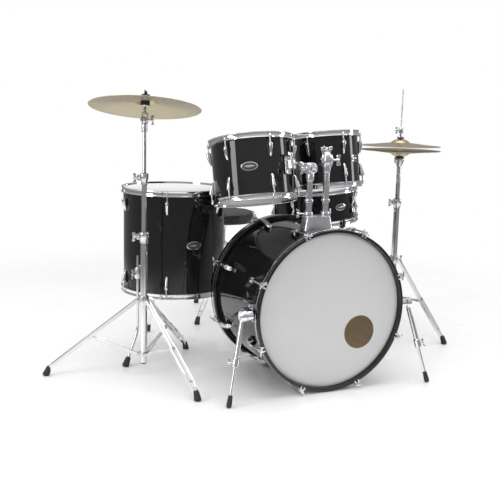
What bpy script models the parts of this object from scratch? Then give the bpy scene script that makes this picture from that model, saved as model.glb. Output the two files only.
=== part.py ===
"""Five-piece acoustic drum kit with its stands, pedals and throne.

Metres, +Z up. The bass drum's axis runs along Y and its front faces -Y, towards the audience; the
drummer sits on the +Y side. The kit is laid out from the middle of the bass drum's front hoop and is
moved at the end, so that the origin is on the floor under the middle of the whole kit.
"""
import math

import bmesh
import bpy
from mathutils import Matrix, Vector

INCH = 0.0254
GAP = 0.0003                 # clearance kept between pieces that touch
UP = Vector((0, 0, 1))

# Bass drum
BASS_RADIUS = 11 * INCH      # outside of the shell
BASS_DEPTH = 16 * INCH
BASS_WALL = 0.0075
BASS_HOOP_WIDTH = 0.038
BASS_HOOP_THICKNESS = 0.0115
BASS_HOOP_LIP = 0.0197       # how far a hoop stands past the end of the shell
BASS_RISE = 0.0035           # floor to the bottom of the hoops
BASS_LUGS = 8
BASS_SKIRT = 0.009           # heads down the side of the shell
PORT_RADIUS = 0.064
PORT_X = 0.122
PORT_DROP = 0.088            # port centre below the drum's axis
FILM = 0.001                 # thickness of a head
FILM_COLLAR = 0.0015         # inside of a head's skirt, out from the shell
BASS_OVERALL = BASS_DEPTH + 2 * BASS_HOOP_LIP
BASS_HOOP_INNER = BASS_RADIUS + FILM_COLLAR + FILM + GAP
BASS_HOOP_OUTER = BASS_HOOP_INNER + BASS_HOOP_THICKNESS
BASS_AXIS_Z = BASS_HOOP_OUTER + BASS_RISE
BASS_TOP = BASS_AXIS_Z + BASS_RADIUS

# The other drums: outside radius and depth of each shell
LARGE_TOM_RADIUS = 6 * INCH
LARGE_TOM_DEPTH = 9 * INCH
SMALL_TOM_RADIUS = 5 * INCH
SMALL_TOM_DEPTH = 8 * INCH
FLOOR_TOM_RADIUS = 8 * INCH
FLOOR_TOM_DEPTH = 16 * INCH
SNARE_RADIUS = 7 * INCH
SNARE_DEPTH = 5.5 * INCH
SHELL_WALL = 0.0065
TOM_STEPS = 24               # sides of the round shapes, a multiple of the lugs
TOM_LUGS = 6
SNARE_LUGS = 8

# Metal rims of those drums
RIM_INNER = 0.0055           # inside of the rim, out from the shell
RIM_OUTER = 0.0091           # outside of the rim, out from the shell
RIM_ABOVE = 0.0085           # rim above the edge of the shell
RIM_BELOW = 0.016            # rim below the edge of the shell
ROD_OUT = 0.0104             # tension rods, out from the shell
ROD_RADIUS = 0.0030
ROD_HEAD = 0.003             # rod above the edge of the shell
LUG_LENGTH = 0.050
LUG_START = 0.034            # near end of a lug, from the edge of the shell
LUG_HEIGHT = 0.021           # lug above the shell
LUG_WIDTH = 0.015

# Rings of the heads
FLESH_HOOP = 0.0050          # outside of the head's metal ring, out from the shell
FLESH_HEIGHT = 0.005
SKIRT = 0.012

# Spurs of the bass drum
SPUR_PIVOT_X = BASS_HOOP_OUTER + 0.0403
SPUR_PIVOT_Y = 0.033
SPUR_PIVOT_Z = BASS_AXIS_Z + 0.0028
SPUR_FOOT_X = SPUR_PIVOT_X + 0.070
SPUR_FOOT_Y = -0.026
SPUR_HEAD_RADIUS = 0.021
SPUR_PLATE = 0.046           # foot of the bracket along the shell
SPUR_HEAD_HALF = 0.010       # half the width of the tube's head
SPUR_TUBE_RADIUS = 0.0090
SPUR_ROD_RADIUS = 0.0055
SPUR_TUBE_SHARE = 0.558      # length of the tube, as a share of pivot to foot
SPUR_ROD_TOP = 0.085         # end of the rod inside the tube, from the pivot

# Tom mount
MOUNT_Y = BASS_OVERALL - 0.2958
MOUNT_TOP_WIDTH = 0.096
MOUNT_FOOT_WIDTH = 0.118
MOUNT_DEPTH = 0.046
MOUNT_HEIGHT = 0.046         # over the top of the shell
POST_SPREAD = 0.068
POST_RADIUS = 0.0115
POST_CLEARANCE = 0.0006
POST_INSIDE = 0.060          # length of post inside the bass drum
TILTER_RADIUS = 0.021
TILTER_HALF = 0.0125         # half the width of the post's ratchet disc
TILTER_CHEEK = 0.007         # thickness of the arm's cheeks
LEFT_TILTER_Z = BASS_TOP + 0.2174
RIGHT_TILTER_Z = BASS_TOP + 0.2474
ARM_RADIUS = 0.0065
BRACKET_STAND = 0.036        # bracket out from the tom's shell

# Places of the drums (middle of each shell), leans in degrees
LARGE_TOM_AT = (-LARGE_TOM_RADIUS - 0.0026, MOUNT_Y + LARGE_TOM_RADIUS + 0.0816,
                BASS_TOP + LARGE_TOM_DEPTH / 2 + 0.0761)
LARGE_TOM_BACK = 12.7
LARGE_TOM_SIDE = -1.1
LARGE_TOM_TURN = -118.4      # direction of the badge
SMALL_TOM_AT = (SMALL_TOM_RADIUS + 0.053, MOUNT_Y + SMALL_TOM_RADIUS + 0.143,
                BASS_TOP + SMALL_TOM_DEPTH / 2 + 0.1228)
SMALL_TOM_BACK = 8.0
SMALL_TOM_SIDE = -2.3
SMALL_TOM_TURN = -58.5
FLOOR_TOM_FROM_LARGE = 123.8   # direction from the large tom to the floor tom
FLOOR_TOM_SPACE = 0.0168     # between their shells, seen from above
FLOOR_TOM_TOP = 0.6814       # upper edge of the top rim
FLOOR_TOM_TURN = -86.0
SNARE_FROM_SMALL = 68.8      # direction from the small tom to the snare drum
SNARE_SPACE = 0.0191
SNARE_Z = 0.594
SNARE_SIDE = -5.0
SNARE_TURN = -79.7

# Floor tom legs
LEG_ROD_RADIUS = 0.0055
LEG_ROD_OUT = 0.025          # rod out from the shell
LEG_FOOT_OUT = 0.100         # foot out from the shell
LEG_ROD_TOP = 0.425
LEG_BEND = 0.125
LEG_CLAMP_LOW = 0.335
LEG_CLAMP_HIGH = 0.385

# Crash cymbal stand
CRASH_LEFT_OF_FLOOR_TOM = 0.00385   # stand's axis left of the floor tom's shell
CRASH_BEFORE_FLOOR_TOM = 0.27115    # stand's axis in front of the floor tom's centre
CRASH_TURN = 44.5            # direction of the first leg
CRASH_REACH = 0.363          # feet from the stand's axis
CRASH_COLLAR_Z = 0.284
CRASH_LOW_COLLAR_Z = 0.078
CRASH_CLAMP_Z = 0.500        # top of the base tube
CRASH_MID_Z = 0.716          # top of the middle tube
CRASH_TILTER_Z = 0.950
BASE_TUBE_RADIUS = 0.0127
MID_TUBE_RADIUS = 0.0095
TOP_TUBE_RADIUS = 0.0064
CLAMP_HEIGHT = 0.044
TUBE_CLEARANCE = 0.0005
TUBE_OVERLAP = 0.130         # inner tube inside the outer one
CRASH_RADIUS = 8 * INCH
CRASH_LEAN = 12.3
CRASH_LEAN_TURN = 62.0       # direction of the cymbal's lean
CYMBAL_THICKNESS = 0.0012
CYMBAL_HOLE = 0.0065
BELL_RADIUS = 0.042
CYMBAL_STEPS = 24

# Folding legs
STRIP_WIDTH = 0.014
STRIP_THICKNESS = 0.0024
STRIP_SPREAD = 0.015         # between the outer faces of a leg's two strips
BRACE_THICKNESS = 0.0065
PIVOT_OUT = 0.026            # leg pivots from the stand's axis
FOOT_RADIUS = 0.012

# Hi-hat stand
HAT_FROM_SNARE = -12.4       # direction from the snare drum to the hi-hat
HAT_SPACE = 0.0273
HAT_TURN = -67.0
HAT_REACH = 0.285
HAT_COLLAR_Z = 0.338
HAT_LOW_COLLAR_Z = 0.165
HAT_CLAMP_Z = 0.571
HAT_SEAT_Z = 0.800
HAT_RADIUS = 7 * INCH
HAT_OPEN = 0.018             # gap between the cymbals' edges
HAT_ROD_LOW = 0.152          # clears the bottom of the tube with the cymbals at their lowest
HAT_ROD_TOP = 1.100
HAT_ROD_RADIUS = 0.003

# Throne
THRONE_X = 0.055
THRONE_BEHIND_SNARE = 0.1352   # seat's edge behind the snare drum's shell
THRONE_TURN = 220.6
THRONE_REACH = 0.250
THRONE_COLLAR_Z = 0.255
THRONE_LOW_COLLAR_Z = 0.110
THRONE_TUBE_TOP = 0.360
SEAT_RADIUS = 0.155
SEAT_TOP = 0.515
SEAT_THICKNESS = 0.060

# Snare stand
SNARE_STAND_TURN = 60.0
SNARE_STAND_REACH = 0.205
SNARE_COLLAR_Z = 0.215
SNARE_LOW_COLLAR_Z = 0.090
SNARE_TUBE_TOP = 0.300

# Bass drum pedal
PEDAL_WIDTH = 0.084
PEDAL_LENGTH = 0.300
PEDAL_HEEL_HEIGHT = 0.022
PEDAL_AXLE_OUT = 0.090       # axle behind the rear hoop
PEDAL_AXLE_Z = 0.185
BEATER_SHAFT = 0.170
BEATER_REST = 38.0           # beater's lean away from the head


def clear_scene():
    for old in list(bpy.data.objects):
        bpy.data.objects.remove(old)


def finish(name, colour, roughness, metallic):
    material = bpy.data.materials.new(name)
    material.use_nodes = True
    shader = material.node_tree.nodes["Principled BSDF"]
    shader.inputs["Base Color"].default_value = (*colour, 1)
    shader.inputs["Roughness"].default_value = roughness
    shader.inputs["Metallic"].default_value = metallic
    return material


# ---------------------------------------------------------------- shapes

def polar(radius, degrees, height=0.0):
    angle = math.radians(degrees)
    return Vector((radius * math.cos(angle), radius * math.sin(angle), height))


def to_mesh(bm):
    bmesh.ops.recalc_face_normals(bm, faces=bm.faces)
    mesh = bpy.data.meshes.new("shape")
    bm.to_mesh(mesh)
    bm.free()
    return mesh


def turned(profile, steps):
    """A closed outline of (radius, height) points turned about +Z."""
    bm = bmesh.new()
    corners = [bm.verts.new((radius, 0, height)) for radius, height in profile]
    edges = []
    for first, second in zip(corners, corners[1:] + corners[:1]):
        if first.co.x > 0 or second.co.x > 0:
            edges.append(bm.edges.new((first, second)))
    bmesh.ops.spin(bm, geom=corners + edges, cent=(0, 0, 0), axis=UP, angle=2 * math.pi, steps=steps)
    bmesh.ops.remove_doubles(bm, verts=bm.verts, dist=1e-6)
    return to_mesh(bm)


def rod(start, end, radius, sides=10, end_radius=None):
    start = Vector(start)
    end = Vector(end)
    along = end - start
    bm = bmesh.new()
    frame = Matrix.Translation((start + end) / 2) @ UP.rotation_difference(along).to_matrix().to_4x4()
    bmesh.ops.create_cone(bm, cap_ends=True, segments=sides, radius1=radius,
                          radius2=end_radius or radius, depth=along.length, matrix=frame)
    return to_mesh(bm)


def disc(radius, low, high, steps):
    return rod((0, 0, low), (0, 0, high), radius, steps)


def block(size, middle, frame=Matrix()):
    bm = bmesh.new()
    place = frame @ Matrix.Translation(middle) @ Matrix.Diagonal((*size, 1))
    bmesh.ops.create_cube(bm, size=1, matrix=place)
    return to_mesh(bm)


def wedge(low_size, high_size, low, high):
    """A block along Z whose ends differ: each end is (x, y) size, standing on x = 0."""
    bm = bmesh.new()
    rings = []
    for (out, width), height in ((low_size, low), (high_size, high)):
        outline = [(0, -width / 2), (out, -width / 2), (out, width / 2), (0, width / 2)]
        rings.append([bm.verts.new((x, y, height)) for x, y in outline])
    bm.faces.new(rings[0])
    bm.faces.new(rings[1])
    for index in range(4):
        after = (index + 1) % 4
        bm.faces.new((rings[0][index], rings[0][after], rings[1][after], rings[1][index]))
    return to_mesh(bm)


def pipe(points, radius, sides=8):
    """A round bar through the points, mitred at each bend."""
    points = [Vector(point) for point in points]
    bm = bmesh.new()
    rings = []
    for index, point in enumerate(points):
        before = (point - points[index - 1]).normalized() if index else None
        after = (points[index + 1] - point).normalized() if index + 1 < len(points) else None
        along = before or after
        normal = (before + after).normalized() if before and after else along
        turn = UP.rotation_difference(along).to_matrix()
        ring = []
        for side in range(sides):
            spoke = turn @ polar(radius, 360 * side / sides)
            spoke -= along * (spoke.dot(normal) / along.dot(normal))
            ring.append(bm.verts.new(point + spoke))
        rings.append(ring)
    for first, second in zip(rings, rings[1:]):
        best = min(range(sides), key=lambda turn: sum(
            (first[i].co - second[(i + turn) % sides].co).length for i in range(sides)))
        for side in range(sides):
            after = (side + 1) % sides
            bm.faces.new((first[side], first[after], second[(after + best) % sides],
                          second[(side + best) % sides]))
    bm.faces.new(rings[0])
    bm.faces.new(rings[-1])
    return to_mesh(bm)


def strip(points, width, thickness, across):
    """A flat bar through points that lie in one plane; across is that plane's normal."""
    points = [Vector(point) for point in points]
    across = Vector(across).normalized()
    bm = bmesh.new()
    rings = []
    for index, point in enumerate(points):
        before = (point - points[index - 1]).normalized() if index else None
        after = (points[index + 1] - point).normalized() if index + 1 < len(points) else None
        along = ((before or after) + (after or before)).normalized()
        side = along.cross(across)
        corners = ((1, 1), (1, -1), (-1, -1), (-1, 1))
        rings.append([bm.verts.new(point + side * (u * width / 2) + across * (v * thickness / 2))
                      for u, v in corners])
    for first, second in zip(rings, rings[1:]):
        for index in range(4):
            after = (index + 1) % 4
            bm.faces.new((first[index], first[after], second[after], second[index]))
    bm.faces.new(rings[0])
    bm.faces.new(rings[-1])
    return to_mesh(bm)


def moved(mesh, frame):
    mesh.transform(frame)
    return mesh


def joined(meshes):
    """Shapes that don't touch each other, in one mesh."""
    bm = bmesh.new()
    for mesh in meshes:
        bm.from_mesh(mesh)
    return to_mesh(bm)


def boolean(operation, base, others):
    holder = bpy.data.objects.new("boolean base", base)
    bpy.context.scene.collection.objects.link(holder)
    tools = []
    for other in others:
        tool = bpy.data.objects.new("boolean tool", other)
        bpy.context.scene.collection.objects.link(tool)
        modifier = holder.modifiers.new("boolean", 'BOOLEAN')
        modifier.operation = operation
        modifier.solver = 'EXACT'
        modifier.object = tool
        tools.append(tool)
    graph = bpy.context.evaluated_depsgraph_get()
    result = bpy.data.meshes.new_from_object(holder.evaluated_get(graph))
    for used in tools + [holder]:
        bpy.data.objects.remove(used)
    return result


def fused(*meshes):
    return boolean('UNION', meshes[0], meshes[1:])


def cut(base, *cutters):
    return boolean('DIFFERENCE', base, cutters)


# ---------------------------------------------------------------- tree of bodies

class Body:
    """An empty on a joint's axis; the pieces that move with it hang from it."""

    def __init__(self, name, at=(0, 0, 0), parent=None):
        self.at = Vector(at)
        self.empty = bpy.data.objects.new("body." + name, None)
        bpy.context.scene.collection.objects.link(self.empty)
        if parent:
            self.empty.parent = parent.empty
            self.empty.location = self.at - parent.at

    def add(self, name, mesh, material):
        mesh.transform(Matrix.Translation(-self.at))
        mesh.name = name
        mesh.materials.clear()
        mesh.materials.append(material)
        mesh.shade_smooth()
        mesh.set_sharp_from_angle(angle=math.radians(40))
        piece = bpy.data.objects.new(name, mesh)
        bpy.context.scene.collection.objects.link(piece)
        piece.parent = self.empty
        return piece


clear_scene()
BLACK_LACQUER = finish("black lacquer", (0.012, 0.012, 0.014), 0.12, 0.0)
CHROME = finish("chrome", (0.72, 0.73, 0.75), 0.12, 1.0)
HEAD_FILM = finish("coated white film", (0.80, 0.80, 0.79), 0.45, 0.0)
BRONZE = finish("cymbal bronze", (0.68, 0.58, 0.34), 0.30, 1.0)
BLACK_VINYL = finish("black vinyl", (0.02, 0.02, 0.022), 0.45, 0.0)
STEEL_WIRE = finish("steel wire", (0.60, 0.60, 0.60), 0.35, 1.0)

KIT = Body("kit")


# ---------------------------------------------------------------- drums

def drum_frame(at, back, side):
    lean = Matrix.Rotation(math.radians(-back), 4, 'X') @ Matrix.Rotation(math.radians(side), 4, 'Y')
    return Matrix.Translation(at) @ lean


FLIP = Matrix.Rotation(math.pi, 4, 'X')


def drum_shell(radius, depth, wall, steps):
    """A tube whose ends slope back from the bearing edge inside to the outer face."""
    end = depth / 2
    slope = wall * 0.75
    return turned([(radius - wall, -end), (radius, slope - end), (radius, end - slope),
                   (radius - wall, end)], steps)


def plain_head(radius, wall, end, skirt, steps):
    """Film stretched over the end of a shell, inside a wooden hoop."""
    flat = radius - wall
    inner = radius + FILM_COLLAR
    return turned([(0, end + GAP), (flat, end + GAP), (inner, end - wall * 0.6), (inner, end - skirt),
                   (inner + FILM, end - skirt), (inner + FILM, end - wall * 0.5 + FILM),
                   (flat, end + GAP + FILM), (0, end + GAP + FILM)], steps)


def ringed_head(radius, wall, end, skirt, ring_height, steps):
    """Film stretched over the end of a shell, with a metal ring round the edge of its skirt."""
    flat = radius - wall
    inner = radius + FILM_COLLAR
    low = end - skirt
    return turned([(0, end + GAP), (flat, end + GAP), (inner, end - wall * 0.6), (inner, low),
                   (radius + FLESH_HOOP, low), (radius + FLESH_HOOP, low + ring_height),
                   (inner + FILM, low + ring_height), (inner + FILM, end - wall * 0.5 + FILM),
                   (flat, end + GAP + FILM), (0, end + GAP + FILM)], steps)


def rim(radius, end, steps):
    """Steel rim that pulls a head down over the end of a shell."""
    low = end - RIM_BELOW
    high = end + RIM_ABOVE
    return turned([(radius + RIM_INNER, low), (radius + RIM_OUTER, low), (radius + RIM_OUTER, high),
                   (radius + RIM_INNER, high)], steps)


def rim_and_head(radius, wall, end, steps):
    """A rim and its head in one outline: film, skirt, rim."""
    flat = radius - wall
    inner = radius + FILM_COLLAR
    low = end - RIM_BELOW
    high = end + RIM_ABOVE
    shelf = end - wall * 0.5 + FILM
    return turned([(0, end + GAP), (flat, end + GAP), (inner, end - wall * 0.6), (inner, low),
                   (radius + RIM_OUTER, low), (radius + RIM_OUTER, high), (radius + RIM_INNER, high),
                   (radius + RIM_INNER, shelf), (inner + FILM, shelf), (flat, end + GAP + FILM),
                   (0, end + GAP + FILM)], steps)


def with_lugs(ring, radius, end, angles, lug_length):
    """A rim fused with its tension rods and lugs."""
    rods = []
    lugs = []
    lug_top = end - LUG_START
    for angle in angles:
        turn = Matrix.Rotation(math.radians(angle), 4, 'Z')
        rods.append(rod(polar(radius + ROD_OUT, angle, lug_top - 0.0105),
                        polar(radius + ROD_OUT, angle, end + ROD_HEAD), ROD_RADIUS, 5))
        taper = wedge((LUG_HEIGHT * 0.55, LUG_WIDTH * 0.6), (LUG_HEIGHT, LUG_WIDTH),
                      lug_top - lug_length, lug_top)
        lugs.append(moved(taper, turn @ Matrix.Translation((radius + GAP, 0, 0))))
    return fused(ring, joined(rods), joined(lugs))


def add_drum(name, body, frame, radius, depth, turn, lug_count, lug_length, fittings=()):
    """Shell, top rim, bottom rim with the bottom head in it, and batter head of one drum."""
    end = depth / 2
    step = 360 / lug_count
    angles = [step * index for index in range(lug_count)]
    steps = TOM_STEPS
    first_lug = Matrix.Rotation(math.radians(turn + step / 2), 4, 'Z')
    shell = moved(drum_shell(radius, depth, SHELL_WALL, steps), first_lug)
    if fittings:
        shell = fused(shell, *fittings)
    body.add(name + "_shell", moved(shell, frame), BLACK_LACQUER)
    frame = frame @ first_lug
    top = with_lugs(rim(radius, end, steps), radius, end, angles, lug_length)
    body.add(name + "_top_rim", moved(top, frame), CHROME)
    bottom = with_lugs(rim_and_head(radius, SHELL_WALL, end, steps), radius, end, angles, lug_length)
    body.add(name + "_bottom_rim", moved(bottom, frame @ FLIP), CHROME)
    head = ringed_head(radius, SHELL_WALL, end, SKIRT, FLESH_HEIGHT, steps)
    body.add(name + "_batter_head", moved(head, frame), HEAD_FILM)


# ---------------------------------------------------------------- bass drum

BASS_STEPS = 40
BASS_LUG_ANGLES = [360 / BASS_LUGS * (index + 0.5) for index in range(BASS_LUGS)]
CLAW_WIDTH = 0.020
CLAW_METAL = 0.0035
CLAW_LENGTH = 0.024
BASS_ROD_OUT = 0.0245
BASS_LUG_HEIGHT = 0.030
BASS_LUG_START = 0.080       # near end of a lug, from the face of the hoop

# Local +Z runs to the rear of the drum; the front set of hoop, claws and lugs is the rear set flipped.
BASS_FRAME = Matrix.Translation((0, BASS_OVERALL / 2, BASS_AXIS_Z)) @ Matrix.Rotation(-math.pi / 2, 4, 'X')


def bass_hoop():
    """Wooden hoop with its eight claws, T-handled tension rods and lugs."""
    face = BASS_OVERALL / 2
    wood = turned([(BASS_HOOP_INNER, face - BASS_HOOP_WIDTH), (BASS_HOOP_OUTER, face - BASS_HOOP_WIDTH),
                   (BASS_HOOP_OUTER, face), (BASS_HOOP_INNER, face)], BASS_STEPS)
    claws = []
    rods = []
    lugs = []
    reach = BASS_RADIUS + BASS_ROD_OUT
    for angle in BASS_LUG_ANGLES:
        turn = Matrix.Rotation(math.radians(angle), 4, 'Z')
        claw_out = reach + 0.006
        claw_in = BASS_HOOP_OUTER - 0.009
        claws.append(block((claw_out - claw_in, CLAW_WIDTH, CLAW_LENGTH + CLAW_METAL),
                           ((claw_out + claw_in) / 2, 0, face + (CLAW_METAL - CLAW_LENGTH) / 2), turn))
        lug_top = face - BASS_LUG_START
        rods.append(rod(polar(reach, angle, lug_top - 0.008), polar(reach, angle, face + 0.012), 0.003, 5))
        lug = wedge((BASS_LUG_HEIGHT * 0.55, 0.011), (BASS_LUG_HEIGHT, 0.019), lug_top - 0.055, lug_top)
        lugs.append(moved(lug, turn @ Matrix.Translation((BASS_RADIUS + GAP, 0, 0))))
    return fused(wood, joined(claws), joined(rods), joined(lugs))


def spur_bracket(side):
    """Casting on the side of the shell, with a barrel that the spur's tube turns on."""
    shell_side = math.sqrt(BASS_RADIUS ** 2 - (SPUR_PIVOT_Z - BASS_AXIS_Z) ** 2)
    barrel_end = side * (SPUR_PIVOT_X - SPUR_HEAD_HALF - GAP)
    barrel = rod((side * (BASS_HOOP_OUTER + 0.008), SPUR_PIVOT_Y, SPUR_PIVOT_Z),
                 (barrel_end, SPUR_PIVOT_Y, SPUR_PIVOT_Z), SPUR_HEAD_RADIUS * 0.9, 12)
    plate_y = BASS_HOOP_WIDTH + 0.014 + SPUR_PLATE / 2
    plate = block((0.024, SPUR_PLATE, 0.064), (side * shell_side, plate_y, SPUR_PIVOT_Z))
    root_out = BASS_HOOP_OUTER + 0.006
    root_end = plate_y + SPUR_PLATE / 2 - 0.004
    root = block((0.020, root_end - SPUR_PIVOT_Y + 0.010, 0.036),
                 (side * (root_out + 0.010), (root_end + SPUR_PIVOT_Y - 0.010) / 2, SPUR_PIVOT_Z))
    stem = block((root_out + 0.006 - shell_side, SPUR_PLATE * 0.7, 0.036),
                 (side * (root_out + 0.006 + shell_side) / 2, plate_y, SPUR_PIVOT_Z))
    inside = rod((0, 0, BASS_AXIS_Z), (0, 1, BASS_AXIS_Z), BASS_RADIUS - BASS_WALL / 2, BASS_STEPS)
    return cut(fused(plate, stem, root, barrel), inside)


def add_bass_drum(body):
    posts = [rod((x, MOUNT_Y, BASS_AXIS_Z), (x, MOUNT_Y, BASS_TOP + 0.01),
                 POST_RADIUS + POST_CLEARANCE, 12) for x in (-POST_SPREAD / 2, POST_SPREAD / 2)]
    shell = moved(drum_shell(BASS_RADIUS, BASS_DEPTH, BASS_WALL, BASS_STEPS), BASS_FRAME)
    shell = fused(cut(shell, *posts), spur_bracket(-1), spur_bracket(1))
    body.add("bass_shell", shell, BLACK_LACQUER)
    body.add("bass_rear_hoop", moved(bass_hoop(), BASS_FRAME), BLACK_LACQUER)
    body.add("bass_front_hoop", moved(bass_hoop(), BASS_FRAME @ FLIP), BLACK_LACQUER)
    end = BASS_DEPTH / 2
    head = plain_head(BASS_RADIUS, BASS_WALL, end, BASS_SKIRT, BASS_STEPS)
    body.add("bass_batter_head", moved(head, BASS_FRAME), HEAD_FILM)
    front = plain_head(BASS_RADIUS, BASS_WALL, end, BASS_SKIRT, BASS_STEPS)
    port_z = BASS_AXIS_Z - PORT_DROP
    port = rod((PORT_X, -0.05, port_z), (PORT_X, 0.08, port_z), PORT_RADIUS, 28)
    body.add("bass_front_head", cut(moved(front, BASS_FRAME @ FLIP), port), HEAD_FILM)


def add_spur(side, name):
    """Tube that folds about the barrel of its bracket, and the rod that slides in the tube."""
    pivot = Vector((side * SPUR_PIVOT_X, SPUR_PIVOT_Y, SPUR_PIVOT_Z))
    foot = Vector((side * SPUR_FOOT_X, SPUR_FOOT_Y, 0))
    along = (foot - pivot).normalized()
    tube_length = (foot - pivot).length * SPUR_TUBE_SHARE
    half = SPUR_HEAD_HALF
    tube_body = Body("spur_tube_" + name, pivot, KIT)
    disc_head = rod(pivot - Vector((half, 0, 0)), pivot + Vector((half, 0, 0)), SPUR_HEAD_RADIUS, 16)
    tube_end = pivot + along * tube_length
    tube = rod(pivot, tube_end, SPUR_TUBE_RADIUS, 12)
    clamp = rod(tube_end - along * 0.034, tube_end, SPUR_TUBE_RADIUS * 1.45, 12)
    screw = rod(tube_end - along * 0.016, tube_end - along * 0.016 + Vector((side * 0.034, -0.006, 0)),
                0.004, 8)
    bore = rod(pivot + along * (SPUR_HEAD_RADIUS + 0.006), tube_end + along * 0.01,
               SPUR_ROD_RADIUS + TUBE_CLEARANCE, 12)
    tube_body.add("spur_tube_" + name, cut(fused(disc_head, tube, clamp, screw), bore), CHROME)

    rod_body = Body("spur_rod_" + name, foot, tube_body)
    inner = rod(pivot + along * SPUR_ROD_TOP, foot - along * 0.012, SPUR_ROD_RADIUS, 10)
    rubber = rod(foot - along * 0.042, foot, FOOT_RADIUS * 0.8, 12, FOOT_RADIUS * 0.9)
    floor = block((0.1, 0.1, 0.02), (foot.x, foot.y, -0.01))
    rod_body.add("spur_rod_" + name, cut(fused(inner, rubber), floor), CHROME)


# ---------------------------------------------------------------- tom mount and rack toms

def add_mount():
    top = BASS_TOP + MOUNT_HEIGHT
    bm = bmesh.new()
    low = top - MOUNT_HEIGHT - 0.020
    rings = []
    for width, depth, height in ((MOUNT_FOOT_WIDTH, MOUNT_DEPTH * 1.25, low),
                                 (MOUNT_TOP_WIDTH, MOUNT_DEPTH, top)):
        outline = [(-1, -1), (1, -1), (1, 1), (-1, 1)]
        rings.append([bm.verts.new((u * width / 2, MOUNT_Y + v * depth / 2, height)) for u, v in outline])
    bm.faces.new(rings[0])
    bm.faces.new(rings[1])
    for index in range(4):
        after = (index + 1) % 4
        bm.faces.new((rings[0][index], rings[0][after], rings[1][after], rings[1][index]))
    collars = []
    bores = []
    screws = []
    for x in (-POST_SPREAD / 2, POST_SPREAD / 2):
        collars.append(rod((x, MOUNT_Y, top - 0.01), (x, MOUNT_Y, top + 0.014), POST_RADIUS + 0.0035, 16))
        bores.append(rod((x, MOUNT_Y, low - 0.01), (x, MOUNT_Y, top + 0.02),
                         POST_RADIUS + POST_CLEARANCE, 12))
        screws.append(rod((x, MOUNT_Y, top + 0.004), (x * 1.9, MOUNT_Y + 0.020, top + 0.004), 0.0045, 8))
    shell = rod((0, 0, BASS_AXIS_Z), (0, 1, BASS_AXIS_Z), BASS_RADIUS + GAP, BASS_STEPS)
    body = fused(to_mesh(bm), joined(collars), joined(screws))
    KIT.add("tom_mount_base", cut(body, shell, joined(bores)), CHROME)


def add_rack_tom(name, side, tilter_z, at, back, lean, radius, depth, turn, bracket_turn):
    """Post that slides in the mount, ratchet arm that tilts on it, and the tom on the arm."""
    post_x = side * POST_SPREAD / 2
    tilter = Vector((post_x, MOUNT_Y, tilter_z))
    frame = drum_frame(at, back, lean)
    bracket = frame @ (polar(radius + BRACKET_STAND, bracket_turn, 0.0))
    level = Vector((bracket.x - tilter.x, bracket.y - tilter.y, 0)).normalized()
    axis = level.cross(UP)

    post_body = Body(name + "_post", (post_x, MOUNT_Y, BASS_TOP), KIT)
    post_low = (post_x, MOUNT_Y, BASS_TOP - POST_INSIDE)
    tube = rod(post_low, tilter - Vector((0, 0, TILTER_RADIUS * 0.4)), POST_RADIUS, 12)
    ratchet = rod(tilter - axis * TILTER_HALF, tilter + axis * TILTER_HALF, TILTER_RADIUS, 20)
    post_body.add(name + "_post", fused(tube, ratchet), CHROME)

    arm_body = Body(name + "_arm", tilter, post_body)
    cheek_in = TILTER_HALF + GAP
    cheek_out = cheek_in + TILTER_CHEEK
    cheeks = []
    for hand in (-1, 1):
        cheek = rod(tilter + axis * hand * cheek_in, tilter + axis * hand * cheek_out,
                    TILTER_RADIUS * 0.9, 16)
        bar = strip([tilter + axis * hand * (cheek_in + cheek_out) / 2 + level * 0.004,
                     tilter + axis * hand * (cheek_in + cheek_out) / 2 + level * (TILTER_RADIUS + 0.016)],
                    TILTER_RADIUS * 1.3, TILTER_CHEEK, axis)
        cheeks += [cheek, bar]
    bridge = rod(tilter + level * (TILTER_RADIUS + 0.006), tilter + level * (TILTER_RADIUS + 0.022),
                 TILTER_RADIUS * 0.85, 12)
    wing = rod(tilter + axis * (cheek_out - 0.002), tilter + axis * (cheek_out + 0.018), 0.005, 8)
    handle = block((0.006, 0.012, 0.034), (0, 0, 0),
                   Matrix.Translation(tilter + axis * (cheek_out + 0.018)))
    inward = (frame.to_3x3() @ polar(-1, bracket_turn)).normalized()
    shell_face = frame @ polar(radius, bracket_turn)
    arm = pipe([tilter + level * (TILTER_RADIUS + 0.012), bracket - inward * 0.030,
                shell_face + (bracket - shell_face) * 0.4], ARM_RADIUS, 8)
    turn_frame = frame @ Matrix.Rotation(math.radians(bracket_turn), 4, 'Z')
    plate = block((0.012, 0.040, 0.066), (radius + 0.004, 0, 0), turn_frame)
    clamp = block((BRACKET_STAND, 0.030, 0.034), (radius + BRACKET_STAND / 2, 0, 0), turn_frame)
    screw = rod(turn_frame @ Vector((radius + BRACKET_STAND * 0.6, 0, 0.010)),
                turn_frame @ Vector((radius + BRACKET_STAND * 0.6, 0, 0.042)), 0.0045, 8)
    round_shell = [(0, -depth), (radius + GAP, -depth), (radius + GAP, depth), (0, depth)]
    first_lug = Matrix.Rotation(math.radians(turn + 180 / TOM_LUGS), 4, 'Z')
    inside = moved(turned(round_shell, TOM_STEPS), frame @ first_lug)
    bracket_mesh = cut(fused(plate, clamp, screw), inside)
    arm_body.add(name + "_arm", fused(*cheeks, bridge, wing, handle, arm, bracket_mesh), CHROME)
    add_drum(name, arm_body, frame, radius, depth, turn, TOM_LUGS, LUG_LENGTH)


# ---------------------------------------------------------------- floor tom

FLOOR_TOM_Z = FLOOR_TOM_TOP - RIM_ABOVE - FLOOR_TOM_DEPTH / 2
FLOOR_TOM_CENTRE = Vector((LARGE_TOM_AT[0], LARGE_TOM_AT[1], 0)) + polar(
    LARGE_TOM_RADIUS + FLOOR_TOM_RADIUS + FLOOR_TOM_SPACE, FLOOR_TOM_FROM_LARGE)


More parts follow.
